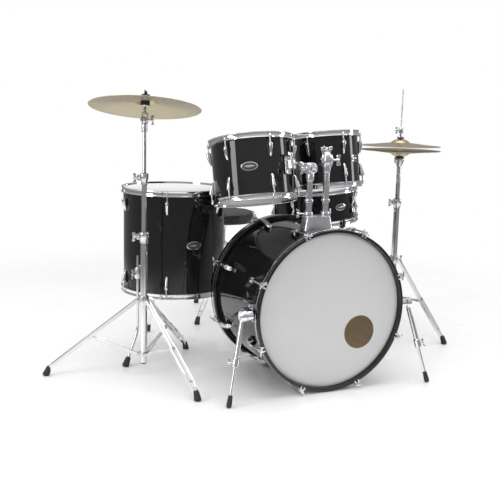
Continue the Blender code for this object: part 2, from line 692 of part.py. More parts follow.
def add_floor_tom():
    centre = FLOOR_TOM_CENTRE
    frame = Matrix.Translation(centre + UP * FLOOR_TOM_Z)
    leg_angles = [FLOOR_TOM_TURN + 60 + 120 * index for index in range(3)]
    out = FLOOR_TOM_RADIUS + LEG_ROD_OUT
    fittings = []
    for angle in leg_angles:
        turn = Matrix.Rotation(math.radians(angle), 4, 'Z')
        low = LEG_CLAMP_LOW - FLOOR_TOM_Z
        high = LEG_CLAMP_HIGH - FLOOR_TOM_Z
        clamp = block((LEG_ROD_OUT + 0.014, 0.034, high - low),
                      (FLOOR_TOM_RADIUS + (LEG_ROD_OUT + 0.010) / 2, 0, (low + high) / 2), turn)
        hole = rod(turn @ Vector((out, 0, low - 0.01)), turn @ Vector((out, 0, high + 0.01)),
                   LEG_ROD_RADIUS + TUBE_CLEARANCE, 10)
        screw = rod(turn @ Vector((out + 0.006, 0, (low + high) / 2)),
                    turn @ Vector((out + 0.034, 0, (low + high) / 2)), 0.0045, 8)
        inside = disc(FLOOR_TOM_RADIUS - SHELL_WALL / 2, low - 0.01, high + 0.01, 32)
        fittings.append(cut(fused(clamp, screw), hole, inside))
    add_drum("floor_tom", KIT, frame, FLOOR_TOM_RADIUS, FLOOR_TOM_DEPTH, FLOOR_TOM_TURN, TOM_LUGS,
             LUG_LENGTH, fittings)
    for index, angle in enumerate(leg_angles):
        foot = centre + polar(FLOOR_TOM_RADIUS + LEG_FOOT_OUT, angle)
        top = centre + polar(out, angle, LEG_ROD_TOP)
        bend = centre + polar(out, angle, LEG_BEND)
        body = Body("floor_tom_leg_%d" % (index + 1), centre + polar(out, angle, LEG_CLAMP_LOW), KIT)
        bar = pipe([top, bend + UP * 0.012, bend + (foot - bend) * 0.10, foot + UP * 0.012],
                   LEG_ROD_RADIUS, 10)
        rubber = rod(foot, foot + (bend - foot).normalized() * 0.034, FOOT_RADIUS, 12, FOOT_RADIUS * 0.75)
        floor = block((0.1, 0.1, 0.02), (foot.x, foot.y, -0.01))
        body.add("floor_tom_leg_%d" % (index + 1), cut(fused(bar, rubber), floor), CHROME)


# ---------------------------------------------------------------- stands

def clamped_tube(low, high, radius, screw_turn):
    """Solid tube along Z with a clamp and its wing screw at the top; bored by the caller."""
    tube = rod((0, 0, low), (0, 0, high - 0.002), radius, 10)
    clamp = rod((0, 0, high - CLAMP_HEIGHT), (0, 0, high), radius + 0.006, 12)
    middle = high - CLAMP_HEIGHT * 0.4
    screw = rod(polar(radius, screw_turn, middle), polar(radius + 0.0315, screw_turn, middle), 0.004, 6)
    wing = block((0.006, 0.030, 0.0125), (radius + 0.030, 0, middle),
                 Matrix.Rotation(math.radians(screw_turn), 4, 'Z'))
    return fused(tube, clamp, screw, wing)


def bore(low, high, radius):
    return rod((0, 0, low), (0, 0, high), radius + TUBE_CLEARANCE, 10)


def leg_outline(reach, pivot_z):
    """Side view of a folding leg: from its pivot at the collar to its rubber foot."""
    return [(PIVOT_OUT, pivot_z), (reach - 0.026, 0.040), (reach - 0.002, 0.010)]


def rubber_foot(turn, reach):
    foot = rod(polar(reach - 0.016, turn, 0.036), polar(reach + 0.002, turn, -0.004), FOOT_RADIUS, 8)
    return cut(foot, block((0.1, 0.1, 0.02), polar(reach, turn, -0.01)))


def folding_leg(turn, reach, pivot_z):
    """Two parallel strips with a pin at the collar, and a rubber foot that joins their ends."""
    points = [polar(out, turn, height) for out, height in leg_outline(reach, pivot_z)]
    across = polar(1, turn + 90)
    offset = (STRIP_SPREAD - STRIP_THICKNESS) / 2
    sides = [strip([point + across * hand * offset for point in points], STRIP_WIDTH, STRIP_THICKNESS,
                   across) for hand in (-1, 1)]
    pin = rod(points[0] - across * (STRIP_SPREAD / 2 + 0.002),
              points[0] + across * (STRIP_SPREAD / 2 + 0.002), 0.003, 6)
    return fused(*sides, pin, rubber_foot(turn, reach))


def brace_points(turn, reach, pivot_z, low_z):
    """Ends of a brace: at the lower collar, and half way along the leg."""
    outline = leg_outline(reach, pivot_z)
    share = 0.56
    out = outline[0][0] + (outline[1][0] - outline[0][0]) * share
    height = outline[0][1] + (outline[1][1] - outline[0][1]) * share
    return polar(PIVOT_OUT, turn, low_z), polar(out, turn, height)


def collar(at_z, turn, bore_radius, height):
    """Ring on a stand's tube with three ears, one between each pair of leg strips."""
    ring = disc(bore_radius + 0.006, at_z - height / 2, at_z + height / 2, 12)
    ears = []
    holes = []
    width = STRIP_SPREAD - 2 * STRIP_THICKNESS - 0.0024
    for index in range(3):
        angle = turn + 120 * index
        frame = Matrix.Rotation(math.radians(angle), 4, 'Z')
        ears.append(block((PIVOT_OUT - bore_radius + 0.005, width, 0.016),
                          ((PIVOT_OUT + bore_radius + 0.005) / 2, 0, at_z), frame))
        across = polar(0.02, angle + 90)
        middle = polar(PIVOT_OUT, angle, at_z)
        holes.append(rod(middle - across, middle + across, 0.0037, 6))
    well = rod((0, 0, at_z - height), (0, 0, at_z + height), bore_radius, 10)
    return cut(fused(ring, joined(ears)), well, joined(holes))


def tripod_legs(turn, reach, collar_z, low_z, tube_radius):
    """Collars, braced legs and feet of a stand, opened as they stand in use."""
    pieces = [disc(tube_radius + 0.007, collar_z - 0.018, collar_z + 0.018, 12),
              disc(tube_radius + 0.006, low_z - 0.008, low_z + 0.008, 12)]
    for index in range(3):
        angle = turn + 120 * index
        points = [polar(out, angle, height) for out, height in leg_outline(reach, collar_z)]
        points[0] = polar(tube_radius - 0.0012, angle, points[0].z)
        across = polar(1, angle + 90)
        pieces.append(strip(points, STRIP_WIDTH, STRIP_SPREAD * 0.7, across))
        low, high = brace_points(angle, reach, collar_z, low_z)
        low = polar(tube_radius - 0.0012, angle, low_z)
        pieces.append(strip([low, high], 0.011, STRIP_SPREAD * 0.4, across))
        pieces.append(rubber_foot(angle, reach))
    return pieces


def cymbal(radius, height, bell_height, steps):
    """Thin bronze plate: bell, shallow bow and edge; the edge is at z = 0."""
    bow = height - bell_height
    top = [(CYMBAL_HOLE, height), (BELL_RADIUS * 0.7, height - bell_height * 0.34),
           (BELL_RADIUS, bow), (radius * 0.6, bow * 0.58), (radius, CYMBAL_THICKNESS)]
    under = [(out, up - CYMBAL_THICKNESS) for out, up in reversed(top)]
    return turned(top + under, steps)


def add_crash_stand():
    axis = FLOOR_TOM_CENTRE - Vector((FLOOR_TOM_RADIUS + CRASH_LEFT_OF_FLOOR_TOM,
                                      CRASH_BEFORE_FLOOR_TOM, 0))
    stand = Matrix.Translation(axis)
    base_top = CRASH_CLAMP_Z + CLAMP_HEIGHT
    base_tube = clamped_tube(0.045, base_top, BASE_TUBE_RADIUS, 180)
    low_collar = collar(CRASH_LOW_COLLAR_Z, CRASH_TURN, BASE_TUBE_RADIUS - 0.001, 0.016)
    well = bore(base_top - TUBE_OVERLAP * 2, base_top + 0.01, MID_TUBE_RADIUS)
    KIT.add("crash_base_tube", moved(cut(fused(base_tube, low_collar), well), stand), CHROME)

    slider = Body("crash_collar", axis + UP * CRASH_COLLAR_Z, KIT)
    ring = collar(CRASH_COLLAR_Z, CRASH_TURN, BASE_TUBE_RADIUS + GAP, 0.036)
    slider.add("crash_collar", moved(ring, stand), CHROME)
    for index in range(3):
        angle = CRASH_TURN + 120 * index
        pivot = axis + polar(PIVOT_OUT, angle, CRASH_COLLAR_Z)
        leg_body = Body("crash_leg_%d" % (index + 1), pivot, slider)
        leg = folding_leg(angle, CRASH_REACH, CRASH_COLLAR_Z)
        leg_body.add("crash_leg_%d" % (index + 1), moved(leg, stand), CHROME)
        low, high = brace_points(angle, CRASH_REACH, CRASH_COLLAR_Z, CRASH_LOW_COLLAR_Z)
        across = polar(1, angle + 90)
        brace_body = Body("crash_brace_%d" % (index + 1), axis + low, KIT)
        fork = [strip([low + across * hand * 0.0063, low + (high - low) * 0.30 + across * hand * 0.0063],
                      0.011, 0.002, across) for hand in (-1, 1)]
        bridge = block((0.012, STRIP_SPREAD, 0.008), (0, 0, 0), Matrix.Translation(
            low + (high - low) * 0.29) @ Matrix.Rotation(math.radians(angle), 4, 'Z'))
        bar = strip([low + (high - low) * 0.27, high], 0.011, BRACE_THICKNESS, across)
        pin = rod(low - across * 0.009, low + across * 0.009, 0.003, 6)
        brace_body.add("crash_brace_%d" % (index + 1), moved(fused(*fork, bridge, bar, pin), stand), CHROME)

    middle = Body("crash_mid_tube", axis + UP * CRASH_CLAMP_Z, KIT)
    mid_top = CRASH_MID_Z + CLAMP_HEIGHT
    mid_tube = clamped_tube(base_top - TUBE_OVERLAP, mid_top, MID_TUBE_RADIUS, 180)
    well = bore(mid_top - TUBE_OVERLAP * 1.5, mid_top + 0.01, TOP_TUBE_RADIUS)
    middle.add("crash_mid_tube", moved(cut(mid_tube, well), stand), CHROME)

    top = Body("crash_top_tube", axis + UP * CRASH_MID_Z, middle)
    lean = polar(1, CRASH_LEAN_TURN)
    across = lean.cross(UP)
    tilter = UP * CRASH_TILTER_Z
    tube = rod((0, 0, mid_top - TUBE_OVERLAP), tilter - UP * 0.008, TOP_TUBE_RADIUS, 10)
    ratchet = rod(tilter - across * 0.006, tilter + across * 0.006, 0.014, 12)
    top.add("crash_top_tube", moved(fused(tube, ratchet), stand), CHROME)

    tilt = Body("crash_tilter", axis + tilter, top)
    frame = stand @ Matrix.Translation(tilter) @ Matrix.Rotation(math.radians(-CRASH_LEAN), 4, across)
    cheeks = [rod(across * hand * (0.006 + GAP), across * hand * 0.011, 0.013, 12) for hand in (-1, 1)]
    bars = [strip([across * hand * 0.0088, across * hand * 0.0088 + UP * 0.024], 0.018, 0.0044, across)
            for hand in (-1, 1)]
    turn = Matrix.Rotation(math.radians(CRASH_LEAN_TURN), 4, 'Z')
    cap = block((0.018, 0.022, 0.007), (0, 0, 0.0235), turn)
    wing = rod(across * 0.010, across * 0.0315, 0.004, 6)
    handle = block((0.008, 0.006, 0.030), (0, 0, 0), Matrix.Translation(across * 0.030) @ turn)
    bell_top = 0.0790
    spindle = turned([(0, 0.022), (0.0045, 0.022), (0.0045, 0.052), (0.016, 0.054),
                      (0.0165, bell_top - 0.0062), (0.0062, bell_top - 0.0020),
                      (0.0040, bell_top - 0.0020), (0.0040, bell_top + 0.0008),
                      (0.0062, bell_top + 0.0008), (0.016, bell_top + 0.0050),
                      (0.016, bell_top + 0.012), (0.0040, bell_top + 0.012), (0.0040, 0.107),
                      (0, 0.107)], 12)
    nut = block((0.034, 0.007, 0.013), (0, 0, bell_top + 0.017), turn)
    pieces = fused(*cheeks, *bars, cap, wing, handle, spindle, nut)
    tilt.add("crash_tilter", moved(pieces, frame), CHROME)

    ride_point = frame @ (UP * bell_top)
    plate = Body("crash_cymbal", ride_point, tilt)
    height = 0.036
    plate_frame = frame @ Matrix.Translation((0, 0, bell_top - height))
    plate.add("crash_cymbal", moved(cymbal(CRASH_RADIUS, height, 0.0165, CYMBAL_STEPS), plate_frame), BRONZE)


SNARE_CENTRE = Vector((SMALL_TOM_AT[0], SMALL_TOM_AT[1], SNARE_Z)) + polar(
    SMALL_TOM_RADIUS + SNARE_RADIUS + SNARE_SPACE, SNARE_FROM_SMALL)


def add_hat_stand():
    axis = SNARE_CENTRE + polar(SNARE_RADIUS + HAT_RADIUS + HAT_SPACE, HAT_FROM_SNARE)
    axis.z = 0
    stand = Matrix.Translation(axis)
    base_top = HAT_CLAMP_Z + CLAMP_HEIGHT
    tube = clamped_tube(0.030, base_top, BASE_TUBE_RADIUS, 180)
    legs = tripod_legs(HAT_TURN, HAT_REACH, HAT_COLLAR_Z, HAT_LOW_COLLAR_Z, BASE_TUBE_RADIUS)
    well = bore(0.045, base_top + 0.01, MID_TUBE_RADIUS)
    pedal_turn = HAT_TURN + 180
    turn = Matrix.Rotation(math.radians(pedal_turn), 4, 'Z')
    heel_out = 0.325
    rails = [pipe([turn @ Vector((0.0, hand * 0.012, 0.034)), turn @ Vector((0.035, hand * 0.048, 0.008)),
                   turn @ Vector((heel_out, hand * 0.048, 0.008))], 0.004, 6) for hand in (-1, 1)]
    heel = block((0.055, 0.104, 0.010), (heel_out - 0.005, 0, 0.006), turn)
    hinge_block = block((0.012, 0.070, 0.010), (heel_out - 0.030, 0, 0.010), turn)
    slot = block((0.080, 0.010, 0.052), (0.016, 0, 0.085), turn)
    base = cut(fused(tube, *legs, *rails, heel, hinge_block), slot, well)
    KIT.add("hat_base", moved(base, stand), CHROME)

    board_pivot = turn @ Vector((heel_out - 0.036, 0, 0.024))
    board = Body("hat_footboard", axis + board_pivot, KIT)
    toe = turn @ Vector((0.046, 0, 0.112))
    along = toe - board_pivot
    across = polar(1, pedal_turn + 90)
    plate = strip([board_pivot, board_pivot + along * 0.55, board_pivot + along * 0.92],
                  0.006, 0.082, across)
    nose = strip([board_pivot + along * 0.90, board_pivot + along], 0.006, 0.040, across)
    board.add("hat_footboard", moved(fused(plate, nose), stand), CHROME)

    riser = Body("hat_tube", axis + UP * HAT_CLAMP_Z, KIT)
    upper = rod((0, 0, base_top - TUBE_OVERLAP), (0, 0, HAT_SEAT_Z - 0.028), MID_TUBE_RADIUS, 10)
    cone = turned([(0, HAT_SEAT_Z - 0.040), (MID_TUBE_RADIUS + 0.001, HAT_SEAT_Z - 0.040),
                   (0.021, HAT_SEAT_Z - 0.018), (0.021, HAT_SEAT_Z + 0.001), (0, HAT_SEAT_Z + 0.001)], 14)
    passage = rod((0, 0, 0.2), (0, 0, 1), HAT_ROD_RADIUS + 0.0012, 8)
    riser.add("hat_tube", moved(cut(fused(upper, cone), passage), stand), CHROME)
    height = 0.030
    hollow = height - CYMBAL_THICKNESS
    bottom_frame = stand @ Matrix.Translation((0, 0, HAT_SEAT_Z + 0.001 + GAP + height)) @ FLIP
    bottom = moved(cymbal(HAT_RADIUS, height, 0.016, CYMBAL_STEPS), bottom_frame)
    riser.add("hat_bottom_cymbal", bottom, BRONZE)

    lift = Body("hat_pull_rod", axis + UP * HAT_SEAT_Z, riser)
    edge = HAT_SEAT_Z + 0.001 + GAP + height + HAT_OPEN
    bell = edge + hollow
    wire = rod((0, 0, HAT_ROD_LOW), (0, 0, HAT_ROD_TOP), HAT_ROD_RADIUS, 8)
    clutch = turned([(0, bell - 0.014), (0.014, bell - 0.014), (0.014, bell - 0.0036),
                     (0.0058, bell - GAP * 2), (0.0058, bell + CYMBAL_THICKNESS + GAP * 2),
                     (0.016, bell + CYMBAL_THICKNESS + GAP * 2), (0.016, bell + 0.014),
                     (0.008, bell + 0.014), (0.008, bell + 0.052), (0, bell + 0.052)], 12)
    wing = block((0.034, 0.007, 0.012), (-0.014, 0, bell + 0.046))
    lift.add("hat_pull_rod", moved(fused(wire, clutch, wing), stand), CHROME)
    top_frame = stand @ Matrix.Translation((0, 0, edge))
    lift.add("hat_top_cymbal", moved(cymbal(HAT_RADIUS, height, 0.016, CYMBAL_STEPS), top_frame), BRONZE)


def add_throne():
    axis = Vector((THRONE_X, SNARE_CENTRE.y + SNARE_RADIUS + THRONE_BEHIND_SNARE + SEAT_RADIUS, 0))
    stand = Matrix.Translation(axis)
    top = THRONE_TUBE_TOP
    tube = clamped_tube(0.060, top, BASE_TUBE_RADIUS, -20)
    legs = tripod_legs(THRONE_TURN, THRONE_REACH, THRONE_COLLAR_Z, THRONE_LOW_COLLAR_Z, BASE_TUBE_RADIUS)
    well = bore(top - 0.200, top + 0.01, MID_TUBE_RADIUS)
    KIT.add("throne_base", moved(cut(fused(tube, *legs), well), stand), CHROME)
    seat_body = Body("throne_seat", axis + UP * top, KIT)
    under = SEAT_TOP - SEAT_THICKNESS
    post = rod((0, 0, top - 0.100), (0, 0, under - 0.006), MID_TUBE_RADIUS, 10)
    flange = disc(0.060, under - 0.014, under + 0.004, 16)
    crown = 0.008
    seat = turned([(0, under), (SEAT_RADIUS - 0.006, under), (SEAT_RADIUS, under + 0.008),
                   (SEAT_RADIUS, SEAT_TOP - crown - 0.010), (SEAT_RADIUS - 0.012, SEAT_TOP - crown),
                   (SEAT_RADIUS * 0.55, SEAT_TOP), (0, SEAT_TOP)], 28)
    seat_body.add("throne_seat", moved(fused(seat, flange, post), stand), BLACK_VINYL)


def add_snare():
    frame = drum_frame(SNARE_CENTRE, 0, SNARE_SIDE)
    bottom = frame @ Vector((0, 0, -SNARE_DEPTH / 2 - RIM_ABOVE))
    axis = Vector((bottom.x, bottom.y, 0))
    stand = Matrix.Translation(axis)
    base_top = SNARE_TUBE_TOP
    tube = clamped_tube(0.050, base_top, BASE_TUBE_RADIUS, 40)
    legs = tripod_legs(SNARE_STAND_TURN, SNARE_STAND_REACH, SNARE_COLLAR_Z, SNARE_LOW_COLLAR_Z,
                       BASE_TUBE_RADIUS)
    well = bore(base_top - 0.200, base_top + 0.01, MID_TUBE_RADIUS)
    KIT.add("snare_stand_base", moved(cut(fused(tube, *legs), well), stand), CHROME)

    basket_body = Body("snare_basket", axis + UP * base_top, KIT)
    hub = bottom - frame.to_3x3() @ (UP * 0.110)
    post = rod((axis.x, axis.y, base_top - 0.120), (axis.x, axis.y, hub.z), MID_TUBE_RADIUS, 10)
    knob = rod(hub - UP * 0.020, hub + frame.to_3x3() @ UP * 0.016, 0.017, 12)
    pieces = [post, knob]
    rim_out = SNARE_RADIUS + RIM_OUTER
    low = -SNARE_DEPTH / 2 - RIM_ABOVE
    for index in range(3):
        angle = SNARE_TURN + 120 * index
        start = frame.inverted() @ hub
        points = [frame @ (start + polar(0.010, angle)), frame @ polar(rim_out - 0.020, angle, low - 0.018),
                  frame @ polar(rim_out + 0.006, angle, low - 0.012),
                  frame @ polar(rim_out + 0.008, angle, low + 0.022)]
        pieces.append(pipe(points, 0.0045, 6))
        turn = frame @ Matrix.Rotation(math.radians(angle), 4, 'Z')
        pieces.append(block((0.026, 0.016, 0.010), (rim_out - 0.004, 0, low - 0.0055), turn))
    basket_body.add("snare_basket", fused(*pieces), CHROME)

    turn_angle = SNARE_TURN + 180
    turn = Matrix.Rotation(math.radians(turn_angle), 4, 'Z')
    strainer = block((0.016, 0.030, 0.050), (SNARE_RADIUS + 0.005, 0, -0.012), turn)
    inside = disc(SNARE_RADIUS - SHELL_WALL / 2, -0.06, 0.06, 32)
    fitting = cut(strainer, inside)
    lug_length = SNARE_DEPTH - 2 * LUG_START
    add_drum("snare", basket_body, frame, SNARE_RADIUS, SNARE_DEPTH, SNARE_TURN, SNARE_LUGS,
             lug_length * 0.5 - 0.002, [fitting])

    pivot = turn @ Vector((SNARE_RADIUS + 0.022, 0, -0.020))
    lever_body = Body("snare_throw_off", frame @ pivot, basket_body)
    across = polar(1, turn_angle + 90)
    barrel = rod(pivot - across * 0.014, pivot + across * 0.014, 0.0075, 12)
    bend = pivot + turn @ Vector((0.006, 0, 0.020))
    handle = strip([pivot, bend, bend + UP * 0.032], 0.005, 0.016, across)
    lever_body.add("snare_throw_off", moved(fused(barrel, handle), frame), CHROME)

    wires = []
    along = polar(1, turn_angle)
    across = polar(1, turn_angle + 90)
    face = -SNARE_DEPTH / 2 - FILM - GAP * 3
    reach = SNARE_RADIUS - 0.030
    for index in range(8):
        shift = across * (0.0055 * (index - 3.5))
        wires.append(rod(-along * reach + shift + UP * (face - 0.0012),
                         along * reach + shift + UP * (face - 0.0012), 0.0010, 5))
    ends = [block((0.014, 0.046, 0.0024), (hand * reach, 0, face - 0.0013), turn) for hand in (-1, 1)]
    basket_body.add("snare_wires", moved(fused(joined(ends), joined(wires)), frame), STEEL_WIRE)


# ---------------------------------------------------------------- bass drum pedal

def add_pedal():
    hoop_back = BASS_OVERALL
    axle_y = hoop_back + PEDAL_AXLE_OUT
    heel_y = axle_y + PEDAL_LENGTH
    half = PEDAL_WIDTH / 2
    plate = block((PEDAL_WIDTH * 0.86, 0.070, 0.003), (0, axle_y - 0.010, 0.0045))
    heel = block((PEDAL_WIDTH, 0.060, 0.012), (0, heel_y, 0.007))
    rails = [rod((x, axle_y, 0.006), (x, heel_y, 0.006), 0.004, 6) for x in (-half * 0.6, half * 0.6)]
    tongue = block((0.050, 0.130, BASS_RISE - GAP), (0, hoop_back + 0.020, (BASS_RISE - GAP) / 2))
    jaw = block((0.044, 0.036, 0.012), (0, hoop_back + 0.020, 0.0065))
    uprights = [block((0.010, 0.026, PEDAL_AXLE_Z + 0.006), (x, axle_y, (PEDAL_AXLE_Z + 0.012) / 2))
                for x in (-half + 0.006, half - 0.006)]
    bearings = [rod((x - 0.007, axle_y, PEDAL_AXLE_Z), (x + 0.007, axle_y, PEDAL_AXLE_Z), 0.014, 14)
                for x in (-half + 0.006, half - 0.006)]
    hole = rod((-0.1, axle_y, PEDAL_AXLE_Z), (0.1, axle_y, PEDAL_AXLE_Z), 0.0062, 12)
    hoop = moved(turned([(BASS_HOOP_INNER - 0.002, 0.1), (BASS_HOOP_OUTER + GAP * 2, 0.1),
                         (BASS_HOOP_OUTER + GAP * 2, BASS_OVERALL / 2 + GAP),
                         (BASS_HOOP_INNER - 0.002, BASS_OVERALL / 2 + GAP)], BASS_STEPS), BASS_FRAME)
    frame = cut(fused(plate, heel, *rails, tongue, jaw, *uprights, *bearings), hole, hoop)
    KIT.add("pedal_frame", frame, CHROME)

    pivot = Vector((0, heel_y - 0.034, PEDAL_HEEL_HEIGHT))
    board_body = Body("pedal_footboard", pivot, KIT)
    toe = Vector((0, axle_y + 0.030, 0.098))
    board = strip([pivot, pivot + (toe - pivot) * 0.8, toe], 0.006, PEDAL_WIDTH * 0.80, (1, 0, 0))
    board_body.add("pedal_footboard", board, CHROME)

    axle = Vector((0, axle_y, PEDAL_AXLE_Z))
    beater_body = Body("pedal_beater", axle, KIT)
    shaft_turn = Matrix.Translation(axle) @ Matrix.Rotation(math.radians(-BEATER_REST), 4, 'X')
    bar = rod((-half + 0.002, 0, 0), (half - 0.002, 0, 0), 0.0055, 10)
    hub = rod((-0.012, 0, 0), (0.012, 0, 0), 0.017, 16)
    shaft = rod((0, 0, 0), (0, 0, BEATER_SHAFT), 0.004, 8)
    felt = rod((0, 0.026, BEATER_SHAFT - 0.018), (0, -0.030, BEATER_SHAFT - 0.018), 0.024, 16)
    beater_body.add("pedal_beater", moved(fused(bar, hub, shaft, felt), shaft_turn), CHROME)


def settle_on_origin():
    """Put the origin on the floor under the middle of the kit."""
    bpy.context.view_layer.update()
    corners = [piece.matrix_world @ vertex.co for piece in bpy.data.objects if piece.type == 'MESH'
               for vertex in piece.data.vertices]
    for index in range(2):
        values = [corner[index] for corner in corners]
        KIT.empty.location[index] = -(min(values) + max(values)) / 2
    bpy.context.view_layer.update()


add_bass_drum(KIT)
add_spur(-1, "left")
add_spur(1, "right")
add_mount()
add_rack_tom("large_tom", -1, LEFT_TILTER_Z, LARGE_TOM_AT, LARGE_TOM_BACK, LARGE_TOM_SIDE,
             LARGE_TOM_RADIUS, LARGE_TOM_DEPTH, LARGE_TOM_TURN, LARGE_TOM_TURN + 60)
add_rack_tom("small_tom", 1, RIGHT_TILTER_Z, SMALL_TOM_AT, SMALL_TOM_BACK, SMALL_TOM_SIDE,
             SMALL_TOM_RADIUS, SMALL_TOM_DEPTH, SMALL_TOM_TURN, SMALL_TOM_TURN - 60)
add_floor_tom()
add_crash_stand()
add_hat_stand()
add_throne()
add_snare()
add_pedal()
settle_on_origin()
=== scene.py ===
"""Acoustic drum kit: every visible piece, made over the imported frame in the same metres."""
import math

import bmesh
import bpy
from mathutils import Matrix, Vector


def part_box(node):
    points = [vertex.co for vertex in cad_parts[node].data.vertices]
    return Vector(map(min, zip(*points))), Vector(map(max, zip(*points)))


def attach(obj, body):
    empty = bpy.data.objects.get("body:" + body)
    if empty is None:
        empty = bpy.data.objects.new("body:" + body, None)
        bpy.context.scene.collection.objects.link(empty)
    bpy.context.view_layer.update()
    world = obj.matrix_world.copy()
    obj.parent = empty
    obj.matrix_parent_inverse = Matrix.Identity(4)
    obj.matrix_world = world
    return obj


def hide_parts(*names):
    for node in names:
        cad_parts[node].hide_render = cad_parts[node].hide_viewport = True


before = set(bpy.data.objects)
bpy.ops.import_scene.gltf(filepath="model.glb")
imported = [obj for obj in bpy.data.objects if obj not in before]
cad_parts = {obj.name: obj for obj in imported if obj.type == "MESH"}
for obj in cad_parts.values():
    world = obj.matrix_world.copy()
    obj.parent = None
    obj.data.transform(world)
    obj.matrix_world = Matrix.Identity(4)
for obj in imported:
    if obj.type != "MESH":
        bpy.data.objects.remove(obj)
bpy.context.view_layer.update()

UP = Vector((0, 0, 1))
INCH = 0.0254

hoop_low, hoop_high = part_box("bass_front_hoop")
AXIS_X = (hoop_low[0] + hoop_high[0]) / 2
FRONT_Y = hoop_low[1] + 0.012
KIT = Matrix.Translation((AXIS_X, FRONT_Y, 0))

CAMERA_AT = KIT @ Vector((-1.443, -2.516, 1.0165))
CAMERA_YAW = math.radians(-23.89)
CAMERA_PITCH = math.radians(9.91)
CAMERA_ROLL = math.radians(1.48)
look = Vector((-math.sin(CAMERA_YAW) * math.cos(CAMERA_PITCH),
               math.cos(CAMERA_YAW) * math.cos(CAMERA_PITCH), -math.sin(CAMERA_PITCH)))
right = Vector((math.cos(CAMERA_YAW), math.sin(CAMERA_YAW), 0))
above = right.cross(look)
rolled_right = right * math.cos(CAMERA_ROLL) + above * math.sin(CAMERA_ROLL)
rolled_up = above * math.cos(CAMERA_ROLL) - right * math.sin(CAMERA_ROLL)
camera = bpy.data.objects.new("camera", bpy.data.cameras.new("camera"))
camera.data.lens = 60.21
camera.data.sensor_width = 36
camera.matrix_world = Matrix.Translation(CAMERA_AT) @ Matrix(
    (rolled_right, rolled_up, -look)).transposed().to_4x4()
bpy.context.scene.collection.objects.link(camera)
bpy.context.scene.camera = camera
bpy.context.scene.view_settings.view_transform = 'Standard'

world = bpy.data.worlds.new("studio")
bpy.context.scene.world = world
world.use_nodes = True
nodes = world.node_tree.nodes
links = world.node_tree.links
background = nodes["Background"]
path = nodes.new("ShaderNodeLightPath")
coordinates = nodes.new("ShaderNodeTexCoord")
height_of = nodes.new("ShaderNodeSeparateXYZ")
links.new(coordinates.outputs["Generated"], height_of.inputs[0])


def room_walls(low, high):
    """Colour of the room, from the floor's level up to the ceiling."""
    ramp = nodes.new("ShaderNodeValToRGB")
    for end, position, colour in zip(ramp.color_ramp.elements, (0.0, 0.9), (low, high)):
        end.position = position
        end.color = (*colour, 1)
    links.new(height_of.outputs["Z"], ramp.inputs["Fac"])
    return ramp.outputs["Color"]


sky = nodes.new("ShaderNodeMix")
sky.data_type = 'RGBA'
sky.inputs["B"].default_value = (1.0, 1.0, 1.0, 1)
links.new(path.outputs["Is Camera Ray"], sky.inputs["Factor"])
# Mirrored rays see a darker room, so that gloss black stays black between the lights.
seen = nodes.new("ShaderNodeMix")
seen.data_type = 'RGBA'
links.new(path.outputs["Is Glossy Ray"], seen.inputs["Factor"])
links.new(room_walls((0.42, 0.42, 0.43), (1.0, 1.0, 1.0)), seen.inputs["A"])
links.new(room_walls((0.27, 0.27, 0.275), (0.78, 0.78, 0.79)), seen.inputs["B"])
links.new(seen.outputs["Result"], sky.inputs["A"])
links.new(sky.outputs["Result"], background.inputs["Color"])
background.inputs["Strength"].default_value = 1.0


def soft_box(name, place, aim, size, power, mirrored=True):
    light = bpy.data.lights.new(name, 'AREA')
    light.shape = 'RECTANGLE'
    light.size, light.size_y = size
    light.energy = power
    lamp = bpy.data.objects.new(name, light)
    lamp.matrix_world = Matrix.Translation(place) @ (
        Vector(aim) - Vector(place)).to_track_quat('-Z', 'Y').to_matrix().to_4x4()
    lamp.visible_glossy = mirrored
    bpy.context.scene.collection.objects.link(lamp)


soft_box("overhead box", (0.0, -0.2, 3.4), (0, 0, 0), (3.6, 3.0), 62)
soft_box("left box", (-3.4, -1.0, 1.7), (0, -0.1, 0.6), (0.9, 2.6), 42)
soft_box("right box", (3.4, -1.2, 1.6), (0, -0.1, 0.6), (0.7, 2.4), 26)
soft_box("front box", (-0.6, -4.4, 2.6), (0, 0, 0.5), (2.6, 1.2), 38, False)


def shader_of(name):
    """A new material: its Principled shader, its nodes and its links."""
    material = bpy.data.materials.new(name)
    material.use_nodes = True
    tree = material.node_tree
    return material, tree.nodes["Principled BSDF"], tree.nodes, tree.links


# Cloudy unevenness that handling and dust leave on any finish, as a mask.
unevenness = bpy.data.node_groups.new("uneven finish", 'ShaderNodeTree')
for socket, way in (("Size", 'INPUT'), ("Low", 'INPUT'), ("High", 'INPUT'), ("Value", 'OUTPUT')):
    unevenness.interface.new_socket(socket, in_out=way, socket_type='NodeSocketFloat')
group_in = unevenness.nodes.new("NodeGroupInput")
group_out = unevenness.nodes.new("NodeGroupOutput")
place = unevenness.nodes.new("ShaderNodeTexCoord")
cloud = unevenness.nodes.new("ShaderNodeTexNoise")
cloud.inputs["Detail"].default_value = 5
cloud.inputs["Roughness"].default_value = 0.6
spread = unevenness.nodes.new("ShaderNodeMapRange")
spread.inputs["From Min"].default_value = 0.3
spread.inputs["From Max"].default_value = 0.7
unevenness.links.new(place.outputs["Object"], cloud.inputs["Vector"])
unevenness.links.new(group_in.outputs["Size"], cloud.inputs["Scale"])
unevenness.links.new(cloud.outputs["Fac"], spread.inputs["Value"])
unevenness.links.new(group_in.outputs["Low"], spread.inputs["To Min"])
unevenness.links.new(group_in.outputs["High"], spread.inputs["To Max"])
unevenness.links.new(spread.outputs["Result"], group_out.inputs["Value"])


def uneven(nodes, size, low, high):
    node = nodes.new("ShaderNodeGroup")
    node.node_tree = unevenness
    for socket, value in (("Size", size), ("Low", low), ("High", high)):
        node.inputs[socket].default_value = value
    return node.outputs["Value"]


